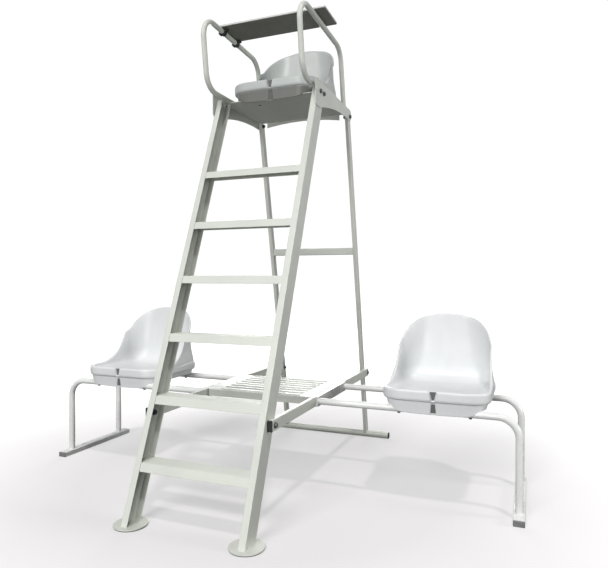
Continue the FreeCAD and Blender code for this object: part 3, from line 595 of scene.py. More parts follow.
def side_plate_outline():
    """Outline of the side plate in (y, z): level on top, arched below, round at the rear."""
    front = PLATE_LO.y
    top = PLATE_HI.z
    heel = PLATE_LO.z
    corner = SIDE_PLATE_CORNER
    k = corner * CORNER_CUT
    r = SIDE_PLATE_REAR_R
    d = r * math.sqrt(0.5)
    rear_z = SIDE_PLATE_REAR_Z
    rear_y = leg_y(rear_z)
    points = [(front, heel + corner), (front, top - corner)]
    points += arc3(points[-1], (front + k, top - k), (front + corner, top), 6)
    points.append((rear_y, rear_z + r))
    points += arc3(points[-1], (rear_y + d, rear_z + d), (rear_y + r, rear_z), 10)
    points += arc3(points[-1], (rear_y + d, rear_z - d), (rear_y, rear_z - r), 10)
    points += arc3(points[-1], (170.0, 1829.0), (-40.0, heel), 28)
    points.append((front + corner, heel))
    points += arc3(points[-1], (front + k, heel + k), (front, heel + corner), 6)
    return points[:-1]


SPARE_HOLE = (-70.0, 1811.0, 4.0)
both_sides("side_cheek", plate(side_plate_outline(), [SPARE_HOLE], along_x, PLATE_LO.x, PLATE_HI.x, 0.9),
           GREY_COAT, "side_plate")


def pan_sheet():
    """Seat pan: flat sheet with a rolled rear edge and an arched flange below it."""
    t = PAN_T
    top = PAN_HI.z
    half = PAN_HI.x
    shoulder = 36.0
    tongue = 240.0
    rear = PAN_HI.y
    deck = rounded([
        (-half, shoulder, 2), (-tongue, shoulder, 6), (-tongue, PAN_LO.y, 8), (tongue, PAN_LO.y, 8),
        (tongue, shoulder, 6), (half, shoulder, 2), (half, rear, 4), (-half, rear, 4),
    ])
    sheet = bar(deck, along_z, top - t, top, 0.7)
    reach = 220.0
    low = PAN_LO.z
    arch = [(-reach, top - 0.6), (-reach, low)]
    arch += arc3((-reach, low), (0.0, low + 19.0), (reach, low), 24)
    arch.append((reach, top - 0.6))
    flange = bar(arch, along_y, rear - t, rear - 0.05, 0.6)
    return merged([sheet, flange])


piece("pan_sheet", pan_sheet(), GREY_COAT, ["seat_pan"])

ARM_LO, ARM_HI = box_mm("right_armrest")
ARM_X = (ARM_LO.x + ARM_HI.x) / 2
ARM_LOW_Z = HEAD_Z + ARM_R


def armrest_line():
    """Bent tube from the pan up the front, back under the desk and down to the pan."""
    def rail_z(y):
        return RAIL_TOP_Z - DESK_SLOPE * y

    points = [
        (ARM_X, 120.0, ARM_LOW_Z), (ARM_X, -196.0, ARM_LOW_Z), (ARM_X, -244.0, rail_z(-244.0)),
        (ARM_X, 338.0, rail_z(338.0)), (ARM_X, 407.0, HEAD_Z - 10),
    ]
    line = route(points, ARM_BEND_R, 18)
    last = line[-1]
    before = line[-2]
    run = (last - before).normalized()
    line[-1] = last - run * ((HEAD_Z - last.z) / -run.z)
    return line


ARM_LINE = armrest_line()
ARM_FOOT_Y = ARM_LINE[-1].y
both_sides("arm_tube", tube(ARM_LINE, ARM_R, ARM_WALL), GREY_COAT, "armrest")


# --- desk -----------------------------------------------------------------------------------

DESK_TILT = Matrix.Rotation(-math.atan(DESK_SLOPE), 4, "X")
DESK_PIVOT = Vector((-ARM_X, 0.0, RAIL_TOP_Z))


def on_rail(u, v, t):
    """Point drawn about the axis of the left desk rail: across, up, and t along it."""
    return DESK_PIVOT + DESK_TILT @ Vector((u, t, v))


DESK_CLEAR = ARM_R + 0.4
DESK_T = 10.0
DESK_FRONT, DESK_REAR = -76.0, 102.0
CLIP_WIDTH = 24.0
UNDERSIDE_T = 1.2


def desk_slab(low, high, drawn, corner, edge):
    """Slab of the writing board between two heights above the rail axis."""
    lo, hi = box_mm("desk_board")
    left = lo.x + ARM_X + drawn
    right = hi.x + ARM_X - drawn
    front = DESK_FRONT + drawn
    rear = DESK_REAR - drawn
    corners = [(left, front), (right, front), (right, rear), (left, rear)]
    outline = rounded([(u, v, corner) for u, v in corners], 6)
    return bar(outline, lambda u, v, t: on_rail(u, t, v), low, high, edge)


piece("writing_board", desk_slab(DESK_CLEAR + UNDERSIDE_T, DESK_CLEAR + DESK_T, 0.0, 6.0, 1.2), DESK_FACE,
      ["desk_board"], body="desk")
piece("board_dark_underside", desk_slab(DESK_CLEAR, DESK_CLEAR + UNDERSIDE_T + 0.5, 1.6, 5.0, 0.3), DESK_UNDERSIDE,
      body="desk")


def clip(start):
    """Hook round the rail from below with a grip rib, and a tongue screwed under the board."""
    inner = ARM_R + 0.05
    outer = 17.0
    lip = 9.0
    reach = 27.0
    top = DESK_CLEAR
    steps = 48
    ring = []
    for radius, forward in ((inner, True), (outer, False)):
        first = math.pi - math.asin(lip / radius)
        sweep = 2 * math.pi - 2 * (math.pi / 2 - math.asin(lip / radius))
        turns = [first + sweep * i / steps for i in range(steps + 1)]
        arc = [(radius * math.cos(a), radius * math.sin(a)) for a in turns]
        ring += arc if forward else arc[::-1]
    tongue = rounded([(14.2, top - 8, 2.5), (reach, top - 8, 2.5), (reach, top, 0.8), (14.2, top, 0.5)])
    c = math.cos(math.radians(-152))
    s = math.sin(math.radians(-152))
    jaw_reach = 18.0
    jaw = []
    for u, v in rectangle(5.5, 4.0, 1.8):
        along = jaw_reach + v
        jaw.append((along * c - u * s, along * s + u * c))
    shapes = [bar(shape, on_rail, start, start + CLIP_WIDTH, 0.8) for shape in (ring, tongue, jaw)]
    return merged(shapes)


FRONT_CLIP_INSET = 18.0
piece("front_clip", clip(DESK_FRONT + FRONT_CLIP_INSET), BLACK, ["front_desk_clip"], body="desk", smooth=50)
piece("rear_clip", clip(DESK_REAR - CLIP_WIDTH), BLACK, ["rear_desk_clip"], body="desk", smooth=50)


# --- rear frame -----------------------------------------------------------------------------

LEG_LO, LEG_HI = box_mm("right_rear_leg")
LEG_X = (LEG_LO.x + LEG_HI.x) / 2


def saddle(points, lift=0.0):
    """Points of the leg's section let down on the round floor bar, or lifted a little off it."""
    ring = []
    for u, v in points:
        reach = min(abs(v), FLOOR_BAR_R)
        z = FLOOR_BAR_R + math.sqrt(FLOOR_BAR_R**2 - reach**2) + lift
        ring.append((LEG_X + u, leg_y(z) + v, z))
    return ring


def rear_leg():
    """Rectangular tube that leans from the pan to its saddle on the floor bar."""
    outline = rectangle(LEG_W / 2, LEG_D / 2, 3.5)
    walls = inset(outline, TUBE_WALL)
    top = LEG_HI.z

    def level(points, z):
        return [(LEG_X + u, leg_y(z) + v, z) for u, v in points]

    rings = [saddle(outline)] + [level(outline, z) for z in (60.0, top)]
    rings += [level(walls, z) for z in (top, 60.0)] + [saddle(walls)]
    return skin(rings, loop=True)


both_sides("rear_post", rear_leg(), GREY_COAT, "rear_leg")


CROSSBAR = box_bar("rear_crossbar", 3.5, run=0)
piece("back_crossbar", bar(*CROSSBAR, 0.2), GREY_COAT, ["rear_crossbar"])


def recoat(node, material):
    """Gives a CAD node that is carried over as it is its material."""
    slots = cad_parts[node].data.materials
    slots.clear()
    slots.append(material[0])


recoat("rear_floor_bar", GREY_COAT)


def floor_bar_plugs():
    """Domed plugs in the ends of the rear floor bar."""
    plugs = []
    for middle, half in solids("floor_bar_plugs"):
        side = 1 if middle.x > 0 else -1
        outer = middle + Vector((side * half.x, 0, 0))
        r = half.z
        profile = [(19.0, r - 3.4), (18.2, r - 2.4), (4.0, r - 2.2), (4.0, r - 0.4), (3.6, r)]
        profile += [(1.4, r), (0.7, r - 0.7), (0.2, r - 2.5), (0.0, r - 6), (0.6, r - 6.8), (0.6, 2.0)]
        plugs.append(lathe([(-a, b) for a, b in profile], outer, (side, 0, 0)))
    return merged(plugs)


piece("floor_bar_caps", floor_bar_plugs(), BLACK, ["floor_bar_plugs"])


# --- rails and shelf ------------------------------------------------------------------------

RAIL = box_bar("right_rail", 3.5)
both_sides("side_rail", bar(*RAIL, 0.3, TUBE_WALL), GREY_COAT, "rail")


CAP_T = 4.0
CAP_CROWN = ((0.0, 3.84), (0.3, 1.68), (0.96, 0.48), (1.92, 0.0))       # depth and how far drawn in


def capped(outline, place, face, inner):
    """Plug in the end of a tube: crowned cap at the face and a stem that reaches to inner."""
    way = 1 if inner > face else -1
    levels = [(face + way * depth, drawn) for depth, drawn in CAP_CROWN + ((CAP_T, 0.0), (CAP_T, TUBE_WALL))]
    levels.append((inner, TUBE_WALL))
    return skin([[place(u, v, t) for u, v in inset(outline, drawn)] for t, drawn in levels])


def end_caps(outline, place, start, end, stem):
    """Plugs in both ends of a tube and of its twin on the other side."""
    front = capped(outline, place, start - CAP_T, start + stem)
    rear = capped(outline, place, end + CAP_T, end - stem)
    return merged([front, rear, mirrored(front), mirrored(rear)])


piece("rail_caps", end_caps(*RAIL, 10.0), BLACK, ["rail_plugs"])


def shelf():
    """Pressed tray: ribbed deck with a flange rolled down at the front and the rear."""
    lo, hi = box_mm("shelf_panel")
    t = 2.5
    rib_h = 4.0
    deck_z = hi.z - rib_h
    half = hi.x
    bend = 4.0
    drop = deck_z - lo.z
    margin = 60.0
    rib_half = 12.0
    pitch = (hi.y - lo.y) / SHELF_RIBS

    def bump(x, y):
        phase = (y - lo.y) / pitch
        offset = (phase - math.floor(phase) - 0.5) * pitch
        end = half - margin - rib_half
        reach = math.hypot(max(abs(x) - end, 0.0), offset)
        rise = min(max((rib_half - reach) / 3.2, 0.0), 1.0)
        return rib_h * rise * rise * (3 - 2 * rise)

    plain = 40.0
    rib_end = 44.0
    inner = half - plain - rib_end
    outer_columns = [-half + plain * i / 4 for i in range(4)]
    outer_columns += [-half + plain + rib_end * i / 14 for i in range(14)]
    columns = outer_columns + [-inner + 2 * inner * i / 16 for i in range(17)]
    columns += [-x for x in reversed(outer_columns)]
    stations = []
    for i in range(7):
        a = math.radians(90 * i / 6)
        stations.append((lo.y + bend * (1 - math.sin(a)), deck_z - bend * (1 - math.cos(a)), a))
    path = [(lo.y, lo.z, math.pi / 2), (lo.y, deck_z - bend - 0.1, math.pi / 2)] + stations[::-1]
    rows = int((hi.y - lo.y - 2 * bend) / 1.6)
    step = (hi.y - lo.y - 2 * bend) / rows
    path += [(lo.y + bend + step * i, deck_z, 0.0) for i in range(1, rows)]
    path += [(hi.y - (y - lo.y), z, -a) for y, z, a in stations]
    path += [(hi.y, deck_z - bend - 0.1, -math.pi / 2), (hi.y, lo.z, -math.pi / 2)]
    rings = []
    for y, z, a in path:
        width = half if abs(a) < 0.2 else half - 9.0
        top = []
        under = []
        for x in columns:
            u = x * width / half
            lift = bump(u, y) if a == 0.0 else 0.0
            top.append((u, y, z + lift))
            under.append((u, y + t * math.sin(a), z + lift - t * math.cos(a)))
        rings.append(top + under[::-1])
    tray = skin(rings)
    side_half = drop / 2 - 1.5
    side_end = 4.0

    def side_place(u, v, s):
        return (half - t / 2 + u, s, lo.z + side_half + v)

    side = bar(rectangle(t / 2, side_half, 0.8), side_place, lo.y + side_end, hi.y - side_end, 0.4)
    return merged([tray, side, mirrored(side)])


piece("shelf_tray", shelf(), GREY_COAT, ["shelf_panel"])


# --- player benches -------------------------------------------------------------------------

BENCH_START_X = box_mm("right_bench_bar")[1].x
BENCH_LEG_X = middle_and_half("right_bench_floor_bar")[0].x
BENCH_FLOOR_TOP = box_mm("right_bench_floor_bar")[1].z
both_sides("bench_mounting_bar", bar(*box_bar("right_bench_bar", 1.2), 1.0), WHITE_COAT, "bench_bar")


def bench_tube_axis(node):
    """Y, height and radius of the level run of a bench tube."""
    middle, half = middle_and_half(node)
    return middle.y, middle.z + half.z - half.y, half.y


def bench_tube(node):
    """Tube that runs out from the bench bar and bends down to the floor bar."""
    y, z, r = bench_tube_axis(node)
    points = [(BENCH_START_X, y, z), (BENCH_LEG_X, y, z), (BENCH_LEG_X, y, BENCH_FLOOR_TOP)]
    return tube(route(points, BENCH_BEND_R, 20), r, TUBE_WALL)


for where in ("front", "rear"):
    both_sides("bench_" + where + "_pipe", bench_tube("right_bench_%s_tube" % where), WHITE_COAT,
               "bench_" + where + "_tube")


SKID = box_bar("right_bench_floor_bar", 3.0)
both_sides("bench_skid", bar(*SKID, 0.3, TUBE_WALL), WHITE_COAT, "bench_floor_bar")
piece("bench_caps", end_caps(*SKID, 15.0), GREY_PLUG, ["bench_plugs"])


# --- fasteners ------------------------------------------------------------------------------

def hexagon(radius, turn):
    """Distance from the middle to the side of a hexagon in a direction."""
    a = (turn + math.pi / 6) % (math.pi / 3) - math.pi / 6
    return radius * math.cos(math.pi / 6) / math.cos(a)


def hex_part(base, axis, height, radius, bore=0.0, chamfer=1.0):
    """Hexagonal head or nut from the base along the axis, its outer corners turned off."""
    normal = Vector((0, 0, 1))
    other = axis.cross(normal)
    sides = 72
    turns = [2 * math.pi * k / sides for k in range(sides)]

    def ring(along, limit):
        middle = base + axis * along
        reach = [min(hexagon(radius, t), limit) for t in turns]
        return [middle + (normal * math.cos(t) + other * math.sin(t)) * r for t, r in zip(turns, reach)]

    full = 1.01
    levels = ((0, full), (height - chamfer, full), (height - chamfer * 0.4, 0.955))
    levels += ((height - 0.05, 0.86), (height, 0.82))
    rings = [ring(along, radius * share) for along, share in levels]
    if bore:
        rings += [ring(height, bore + 0.4), ring(height - 0.6, bore), ring(0, bore)]
        return skin(rings, loop=True)
    return skin(rings)


WASHER_T = 2.0
HEAD_H = 6.4
NUT_H = 8.0
HEX_R = 9.8                     # half the width of a head or nut over its corners
SHANK_R = 5.0


def washer(base, axis, radius, bore=0.0):
    """Washer from the base outwards; without a bore it is closed."""
    profile = [(0.0, radius - 0.3), (0.4, radius), (WASHER_T - 0.3, radius), (WASHER_T, radius - 0.5)]
    if bore:
        profile = [(0.0, bore)] + profile + [(WASHER_T, bore)]
    return lathe(profile, base, axis, ring=bool(bore))


def bolt_heads(node, outward_is_far=True):
    """Washer, chamfered head and shank for each bolt of a node; each lies along X."""
    parts = []
    for middle, half in solids(node):
        way = 1 if (middle.x > 0) == outward_is_far else -1
        axis = Vector((way, 0, 0))
        seat = middle + axis * (half.x - HEAD_H - WASHER_T)
        reach = 2 * half.x - HEAD_H - WASHER_T
        shank = [(0.0, SHANK_R), (1.0 - reach, SHANK_R), (-reach, SHANK_R - 1.0)]
        parts.append(washer(seat, axis, half.z))
        parts.append(hex_part(seat + axis * WASHER_T, axis, HEAD_H, HEX_R))
        parts.append(lathe(shank, seat, axis, 32))
    return merged(parts)


def nut_parts(node):
    """Washer and chamfered nut on the inner side, for each nut of a node."""
    parts = []
    for middle, half in solids(node):
        axis = Vector((-1 if middle.x > 0 else 1, 0, 0))
        base = middle - axis * half.x
        parts.append(washer(base, axis, half.z, SHANK_R + 0.2))
        parts.append(hex_part(base + axis * WASHER_T, axis, NUT_H, HEX_R, bore=SHANK_R + 0.05))
    return merged(parts)


for group in ("head", "leg", "rail_front", "rail_rear"):
    piece(group + "_hex_bolts", bolt_heads(group + "_bolts"), STEEL, [group + "_bolts"])
    nut_finish = GREY_COAT if group == "head" else STEEL
    piece(group + "_hex_nuts", nut_parts(group + "_nuts"), nut_finish, [group + "_nuts"])
piece("bench_hex_bolts", bolt_heads("bench_bolts", False), STEEL, ["bench_bolts"])
recoat("umpire_seat_screws", GREY_COAT)
recoat("player_seat_screws", STEEL)
recoat("desk_clip_screws", STEEL)
recoat("pan_spacers", BLACK)


def arm_caps():
    """Domed plugs in the lower ends of the armrest tubes."""
    plugs = []
    for middle, half in solids("armrest_plugs"):
        r = half.z
        profile = [(-16.0, r - 3.2), (-15.2, r - 2.2), (-4.0, r - 2.1), (-4.0, r - 0.3), (-3.6, r)]
        profile += [(-1.6, r), (-0.7, r - 0.8), (-0.15, r - 2.6), (0.0, r - 6)]
        plugs.append(lathe(profile, middle + Vector((0, half.y, 0)), (0, 1, 0)))
    return merged(plugs)


piece("arm_tube_caps", arm_caps(), BLACK, ["armrest_plugs"])


# --- welds and small parts ------------------------------------------------------------------

def bead(line, radius=2.2):
    """Closed weld bead along a line in one plane, slightly uneven."""
    def swell(i):
        return 1.0 + 0.10 * math.sin(i * 2.1) + 0.06 * math.sin(i * 5.3 + 1.0)

    return tube([Vector(p) for p in line], radius, sides=10, closed=True, swell=swell)


WELD_OFF = 0.6                  # middle of a bead from the surfaces that it joins
BENCH_WELD_OFF = 0.5
REAR_WELD_DRAWN = 2.4           # keeps the bead at the rear leg on the floor bar


def bench_welds():
    """Beads of the bench tubes on the mounting bar and on the floor bar."""
    beads = []
    for where in ("front", "rear"):
        y, z, r = bench_tube_axis("right_bench_%s_tube" % where)
        ring = polar(r + WELD_OFF, 40)
        beads.append(bead([(BENCH_START_X + BENCH_WELD_OFF, y + a, z + b) for a, b in ring]))
        beads.append(bead([(BENCH_LEG_X + a, y + b, BENCH_FLOOR_TOP + BENCH_WELD_OFF) for a, b in ring]))
    return merged(beads)


def rear_welds():
    """Beads of the crossbar on the legs and of the armrests on the pan."""
    middle, half = middle_and_half("rear_crossbar")
    outline = rectangle(half.y + 0.5, half.z + 0.5, 3.5, 5)
    crossbar_bead = bead([(half.x - 0.4, middle.y + u, middle.z + v) for u, v in outline])
    ring = polar(ARM_R + WELD_OFF, 36)
    arm_bead = bead([(ARM_X + a, ARM_FOOT_Y + b, HEAD_Z + WELD_OFF) for a, b in ring])
    return merged([crossbar_bead, arm_bead])


def foot_welds():
    """Bead round the foot of a stile and of a rear leg."""
    stile = [leaning(u, v, STILE_LO.z + WELD_OFF) for u, v in channel_outline()[::2]]
    section = inset(rectangle(LEG_W / 2, LEG_D / 2, 3.5, 6), -WELD_OFF)
    leg = saddle([(u, min(v, FLOOR_BAR_R - REAR_WELD_DRAWN)) for u, v in section], 0.4)
    return merged([bead(stile, 2.0), bead(leg, 1.8)])


def weld_pair(name, part, material):
    piece("right_" + name, part, material)
    piece("left_" + name, mirrored(part), material)


weld_pair("bench_welds", bench_welds(), WHITE_COAT)
weld_pair("rear_welds", rear_welds(), GREY_COAT)
weld_pair("foot_welds", foot_welds(), GREY_COAT)

# black domed disc under the pan, on the left side only
PAN_DARK_DISC_AT = (-106.0, 87.0, HEAD_Z - PAN_T)
DARK_DISC_PROFILE = [(0.0, 3.0), (0.0, 7.0), (0.5, 7.4), (1.4, 6.6), (2.0, 4.0), (2.1, 1.0)]
piece("pan_dark_disc", lathe(DARK_DISC_PROFILE, PAN_DARK_DISC_AT, (0, 0, -1), 32), BLACK)


# --- moulded seats --------------------------------------------------------------------------
# Local to a seat: x from its middle, y from its front lip, z from its mounting face.

FLOOR_Z = 46.0
SEAT_MID_Y = 225.0
SEAT_HOLES_X = (-150.0, 150.0)
SEAT_HOLES_Y = (35.0, 415.0)
SHELL_T = 7.0                   # wall under the sitting surface
WALL_SHAPES = [          # height: half width, rear, corner radius
    (0.0, 230.0, 452.0, 92.0),
    (70.0, 230.0, 452.0, 92.0),
    (150.0, 219.0, 454.0, 110.0),
    (250.0, 215.0, 459.0, 120.0),
    (400.0, 207.0, 467.0, 132.0),
]


def smooth(t):
    t = min(max(t, 0.0), 1.0)
    return t * t * (3 - 2 * t)


def lerp(a, b, t):
    return a + (b - a) * t


def curve_at(points, x):
    """Value of a polyline of (x, value) points, sorted by x."""
    if x <= points[0][0]:
        return points[0][1]
    for (x0, v0), (x1, v1) in zip(points, points[1:]):
        if x <= x1:
            return lerp(v0, v1, (x - x0) / max(x1 - x0, 1e-9))
    return points[-1][1]


def wall_shape(z):
    """Half width, rear and corner radius of the shell at a height, smoothly between the given ones."""
    rows = WALL_SHAPES
    for i in range(len(rows) - 1):
        if z <= rows[i + 1][0] or i == len(rows) - 2:
            a, b = rows[i], rows[i + 1]
            t = (z - a[0]) / (b[0] - a[0])
            before = rows[max(i - 1, 0)]
            after = rows[min(i + 2, len(rows) - 1)]
            out = []
            for k in (1, 2, 3):
                m0 = (b[k] - before[k]) / max(b[0] - before[0], 1e-9) * (b[0] - a[0])
                m1 = (after[k] - a[k]) / max(after[0] - a[0], 1e-9) * (b[0] - a[0])
                h = 2 * t**3 - 3 * t**2 + 1, t**3 - 2 * t**2 + t, -2 * t**3 + 3 * t**2, t**3 - t**2
                out.append(h[0] * a[k] + h[1] * m0 + h[2] * b[k] + h[3] * m1)
            return out
    return list(rows[-1][1:])


FRONT_SHARES = [i * 2.0 / 138 for i in range(14)] + [v / 138 for v in (31, 39, 50, 65, 83, 103, 121)]
CORNER_SHARES = [i / 12 for i in range(13)]
SIDE_SHARES = [i / 14 for i in range(1, 14)]
REAR_SHARES = [i / 7 for i in range(1, 8)]


def half_ring(z, gap):
    """Right half of the outline at a height, moved inwards by the gap, from front to rear."""
    half, rear, radius = wall_shape(z)
    w = half - gap
    y0 = gap
    y1 = rear - gap
    r = max(radius - gap, 8.0)
    r = min(r, w - 2, (y1 - y0) / 2 - 2)
    front_r = max(92.0 - gap, 8.0)
    points = [((w - front_r) * s, y0) for s in FRONT_SHARES]
    for s in CORNER_SHARES:
        a = math.radians(90 * s)
        points.append((w - front_r + front_r * math.sin(a), y0 + front_r - front_r * math.cos(a)))
    for s in SIDE_SHARES:
        points.append((w, lerp(y0 + front_r, y1 - r, s)))
    for s in CORNER_SHARES:
        a = math.radians(90 * s)
        points.append((w - r + r * math.cos(a), y1 - r + r * math.sin(a)))
    for s in REAR_SHARES:
        points.append(((w - r) * (1 - s), y1))
    return points


SIDE_RIM = [(-50.0, BELT_TOP), (100.0, BELT_TOP)]
SIDE_RIM += arc3((100.0, BELT_TOP), (232.0, 108.0), (308.0, 205.0), 24)
SIDE_RIM += arc3((308.0, 205.0), (345.0, 300.0), (420.0, 407.0), 24)
SIDE_RIM.append((480.0, 470.0))
BACK_RIM = [(0.0, SEAT_TOP)]
BACK_RIM += arc3((0.0, SEAT_TOP), (48.0, SEAT_TOP - 2.8), (92.0, SEAT_TOP - 11.0), 10)
BACK_RIM += arc3((92.0, SEAT_TOP - 11.0), (168.0, 332.0), (208.0, 268.0), 20)
BACK_RIM += [(222.0, 215.0), (244.0, 100.0)]
APRON_RIM = [
    (0.0, -28.0), (60.0, -27.6), (120.0, -26.0), (150.0, -22.5), (172.0, -17.0), (190.0, -7.0), (200.0, 0.0),
]


def rim_height(index):
    """Height of the rim along the shell at a place of the outline."""
    low, high = BELT_TOP, 420.0
    for _ in range(24):
        z = (low + high) / 2
        x, y = half_ring(z, 0.0)[index]
        side = curve_at(SIDE_RIM, y)
        back = curve_at(BACK_RIM, x)
        blend = 14.0
        limit = -blend * math.log(math.exp(-side / blend) + math.exp(-back / blend))
        limit = max(limit, BELT_TOP)
        if z < limit:
            low = z
        else:
            high = z
    return low


def seat_floor(x, y):
    """Height of the sitting surface: a shallow dish that rises to the sides and the rear."""
    side = smooth((abs(x) - 70.0) / 130.0)
    thigh = 3.0 * math.exp(-((y - 120.0) / 90.0) ** 2) * math.exp(-(x / 45.0) ** 2)
    rear = smooth((y - 300.0) / 120.0)
    front = smooth((90.0 - y) / 80.0)
    return FLOOR_Z - 6.0 + 7.0 * side + thigh + 5.0 * rear + 9.0 * front


def seat_column(index):
    """One upright section of the seat at a place of the outline, from inside middle to underneath."""
    h = rim_height(index)
    tall = smooth((h - BELT_TOP - 4) / 110.0)
    x_out, y_out = half_ring(BELT_TOP, 0.0)[index]
    front = smooth((60.0 - y_out) / 40.0)
    edge = lerp(5.0, 5.5, tall)
    column = []

    def at(z, gap, level=None):
        x, y = half_ring(z, gap)[index]
        column.append(Vector((x, y, z if level is None else level)))

    def towards_middle(share, gap, height):
        x, y = half_ring(BELT_TOP, gap)[index]
        x *= 1 - share
        y = lerp(y, SEAT_MID_Y, share)
        column.append(Vector((x, y, height(x, y))))

    # inside, from the middle outwards and up to the rim
    foot = lerp(62.0, 70.0, tall)
    for share in (0.94, 0.82, 0.68, 0.52, 0.36, 0.2, 0.08):
        towards_middle(share, foot, seat_floor)
    x, y = half_ring(BELT_TOP, foot)[index]
    base = seat_floor(x, y)
    inner = lerp(17.0, 10.0, tall)
    knee = lerp(BELT_TOP - 10.0, min(base + 74.0, h - 26.0), smooth((h - 110.0) / 60.0))
    knee = max(knee, BELT_TOP - 12.0)
    for i in range(9):
        a = math.radians(90 * i / 8)
        at_z = lerp(base, knee, 1 - math.cos(a))
        at(max(at_z, 0.0), inner + (foot - inner) * (1 - math.sin(a)), at_z)
    top_in = h - 7.0
    for i in range(1, 7):
        z = lerp(knee, top_in, i / 6)
        at(z, inner - 1.5 * tall * smooth(i / 6))
    at(h - 2.4, inner - 2.2 - 1.0 * tall)
    at(h - 0.3, lerp(12.2, edge + 0.6, tall))
    # over the rim and down the outside
    at(h, lerp(8.8, edge - 1.2, tall))
    at(h - lerp(1.3, 0.9, tall), lerp(4.6, 1.7, tall))
    at(h - lerp(3.8, 3.2, tall), lerp(1.7, 0.25, tall))
    at(h - lerp(7.6, 6.5, tall), lerp(0.3, 0.0, tall))
    turn = lerp(11.0, 15.0, tall)
    at(h - turn, 0.0)
    shell = 5.5 * tall
    at(h - turn - 2.2 * tall - 0.2, 0.6 * tall)
    at(h - turn - 3.0 * tall - 0.4, shell * 0.8)
    top = h - turn - 6.0 * tall - 0.8
    bottom = lerp(60.0, 66.0, tall)
    for i in range(1, 8):
        z = lerp(top, bottom + 6.0 * tall, i / 7)
        at(z, shell)
    at(bottom + 2.0 * tall, shell * 0.75)
    at(bottom - 1.0, shell * 0.12)
    for i in range(1, 9):
        at(lerp(bottom - 1.0, 40.0, i / 8), 0.0)
    for z, gap in ((35.5, 0.5), (31.8, 1.9), (28.9, 4.1), (27.2, 6.8)):
        at(z, gap)
    # underside: belt, base wall or apron, and the hollow
    at(BELT_BOTTOM - 0.2, lerp(12.0, 8.6, front))
    at(BELT_BOTTOM - 1.4, lerp(13.6, 9.4, front))
    apron = front * curve_at(APRON_RIM, abs(x_out))
    wall_gap = lerp(14.0, 9.6, front)
    lean = lerp(6.0, 3.6, front)
    for i in range(1, 9):
        t = i / 8
        at(0.0, wall_gap + lean * t, lerp(BELT_BOTTOM - 3.5, apron + 1.6, t))
    at(0.0, wall_gap + lean + 1.0, apron)
    at(0.0, wall_gap + lean + 4.0, apron)
    at(0.0, wall_gap + lean + 5.4, apron + 1.6)
    at(0.0, wall_gap + lean + 5.8, 8.0)
    at(0.0, wall_gap + lean + 12.0, 24.0)

    def under(x, y):
        return seat_floor(x, y) - SHELL_T

    towards_middle(0.0, 60.0, lambda x, y: under(x, y) - 1.5)
    for share in (0.2, 0.45, 0.7, 0.94):
        towards_middle(share, 62.0, under)
    return column


def notched(point):
    """Presses the two notches into the middle of the front, each with a raised border."""
    x, y, z = point
    if y > 30.0 or abs(x) > 40.0:
        return point
    off = abs(x)
    if z > 20.0 and y < 16.0:
        half = lerp(5.5, 15.5, min(max((z - 30.0) / 44.0, 0.0), 1.0))
        inside = smooth((half - off) / 2.6 + 0.5) * smooth((z - 32.0) / 4.0)
        border = math.exp(-((off - half - 3.6) / 2.2) ** 2) * smooth((z - 30.0) / 5.0)
        if inside > 0.02:
            y = max(y, 11.0 * inside)
            if z > 66.0:
                z = lerp(z, min(z, 68.0), inside)
        y -= 1.1 * border * (1 - inside) * (1 if y < 4 else 0)
    elif z < 20.0 and y < 18.0:
        half = lerp(13.0, 8.5, min(max((z + 24.0) / 40.0, 0.0), 1.0))
        inside = smooth((half - off) / 2.6 + 0.5) * smooth((20.0 - z) / 3.0)
        y = max(y, lerp(y, 16.4, inside))
    return Vector((x, y, z))


def seat_part():
    """Closed shell of the moulded seat with its bosses."""
    count = len(half_ring(BELT_TOP, 0.0))
    columns = [[notched(p) for p in seat_column(i)] for i in range(count)]
    columns += [[Vector((-p.x, p.y, p.z)) for p in column] for column in columns[-2:0:-1]]
    rings = [[column[k] for column in columns] for k in range(len(columns[0]))]
    verts, faces = skin(rings, cap=False)
    around = len(columns)
    for ring, flip in ((0, True), (len(rings) - 1, False)):
        middle = sum((Vector(p) for p in rings[ring]), Vector()) / around
        verts.append(middle * MM)
        hub = len(verts) - 1
        for k in range(around):
            a = ring * around + k
            b = ring * around + (k + 1) % around
            faces.append((b, a, hub) if flip else (a, b, hub))
    bosses = []
    for x in SEAT_HOLES_X:
        for y in SEAT_HOLES_Y:
            profile = [(0.0, 6.0), (0.0, 13.0), (1.2, 14.5), (40.0, 15.5), (40.0, 6.0)]
            bosses.append(lathe(profile, (x, y, 0.0), (0, 0, 1), 32, ring=True))
    return merged([(verts, faces)] + bosses)


SEAT = seat_part()


def notch_shade_sheets():
    """Dark sheets just in front of the floor of the two notches: painted shade for their dark depths."""
    upper = [(-4.6, 36.0), (4.6, 36.0), (13.4, 71.0), (-13.4, 71.0)]
    lower = [(-11.0, -19.0), (11.0, -19.0), (8.2, 17.5), (-8.2, 17.5)]
    placed = ((upper, 8.6), (lower, 14.4))
    return merged([bar(outline, along_y, start, start + 1.6, 0.4) for outline, start in placed])


NOTCH_SHADE_SHEETS = notch_shade_sheets()


def place_seat(name, node, material, at):
    """Copy of the moulded seat with its front middle at a place, with one level of subdivision."""
    verts, faces = SEAT
    shift = Vector(at) * MM
    obj = piece(name, ([v + shift for v in verts], faces), material, [node], smooth=180, weighted=False)
    rounder = obj.modifiers.new("smooth_moulding", "SUBSURF")
    rounder.levels = 1
    rounder.render_levels = 1
    verts, faces = NOTCH_SHADE_SHEETS
    # painted shade: dark sheets at the back of the two notches
    piece(name + "_notch_shade", ([v + shift for v in verts], faces), NOTCH_SHADE)


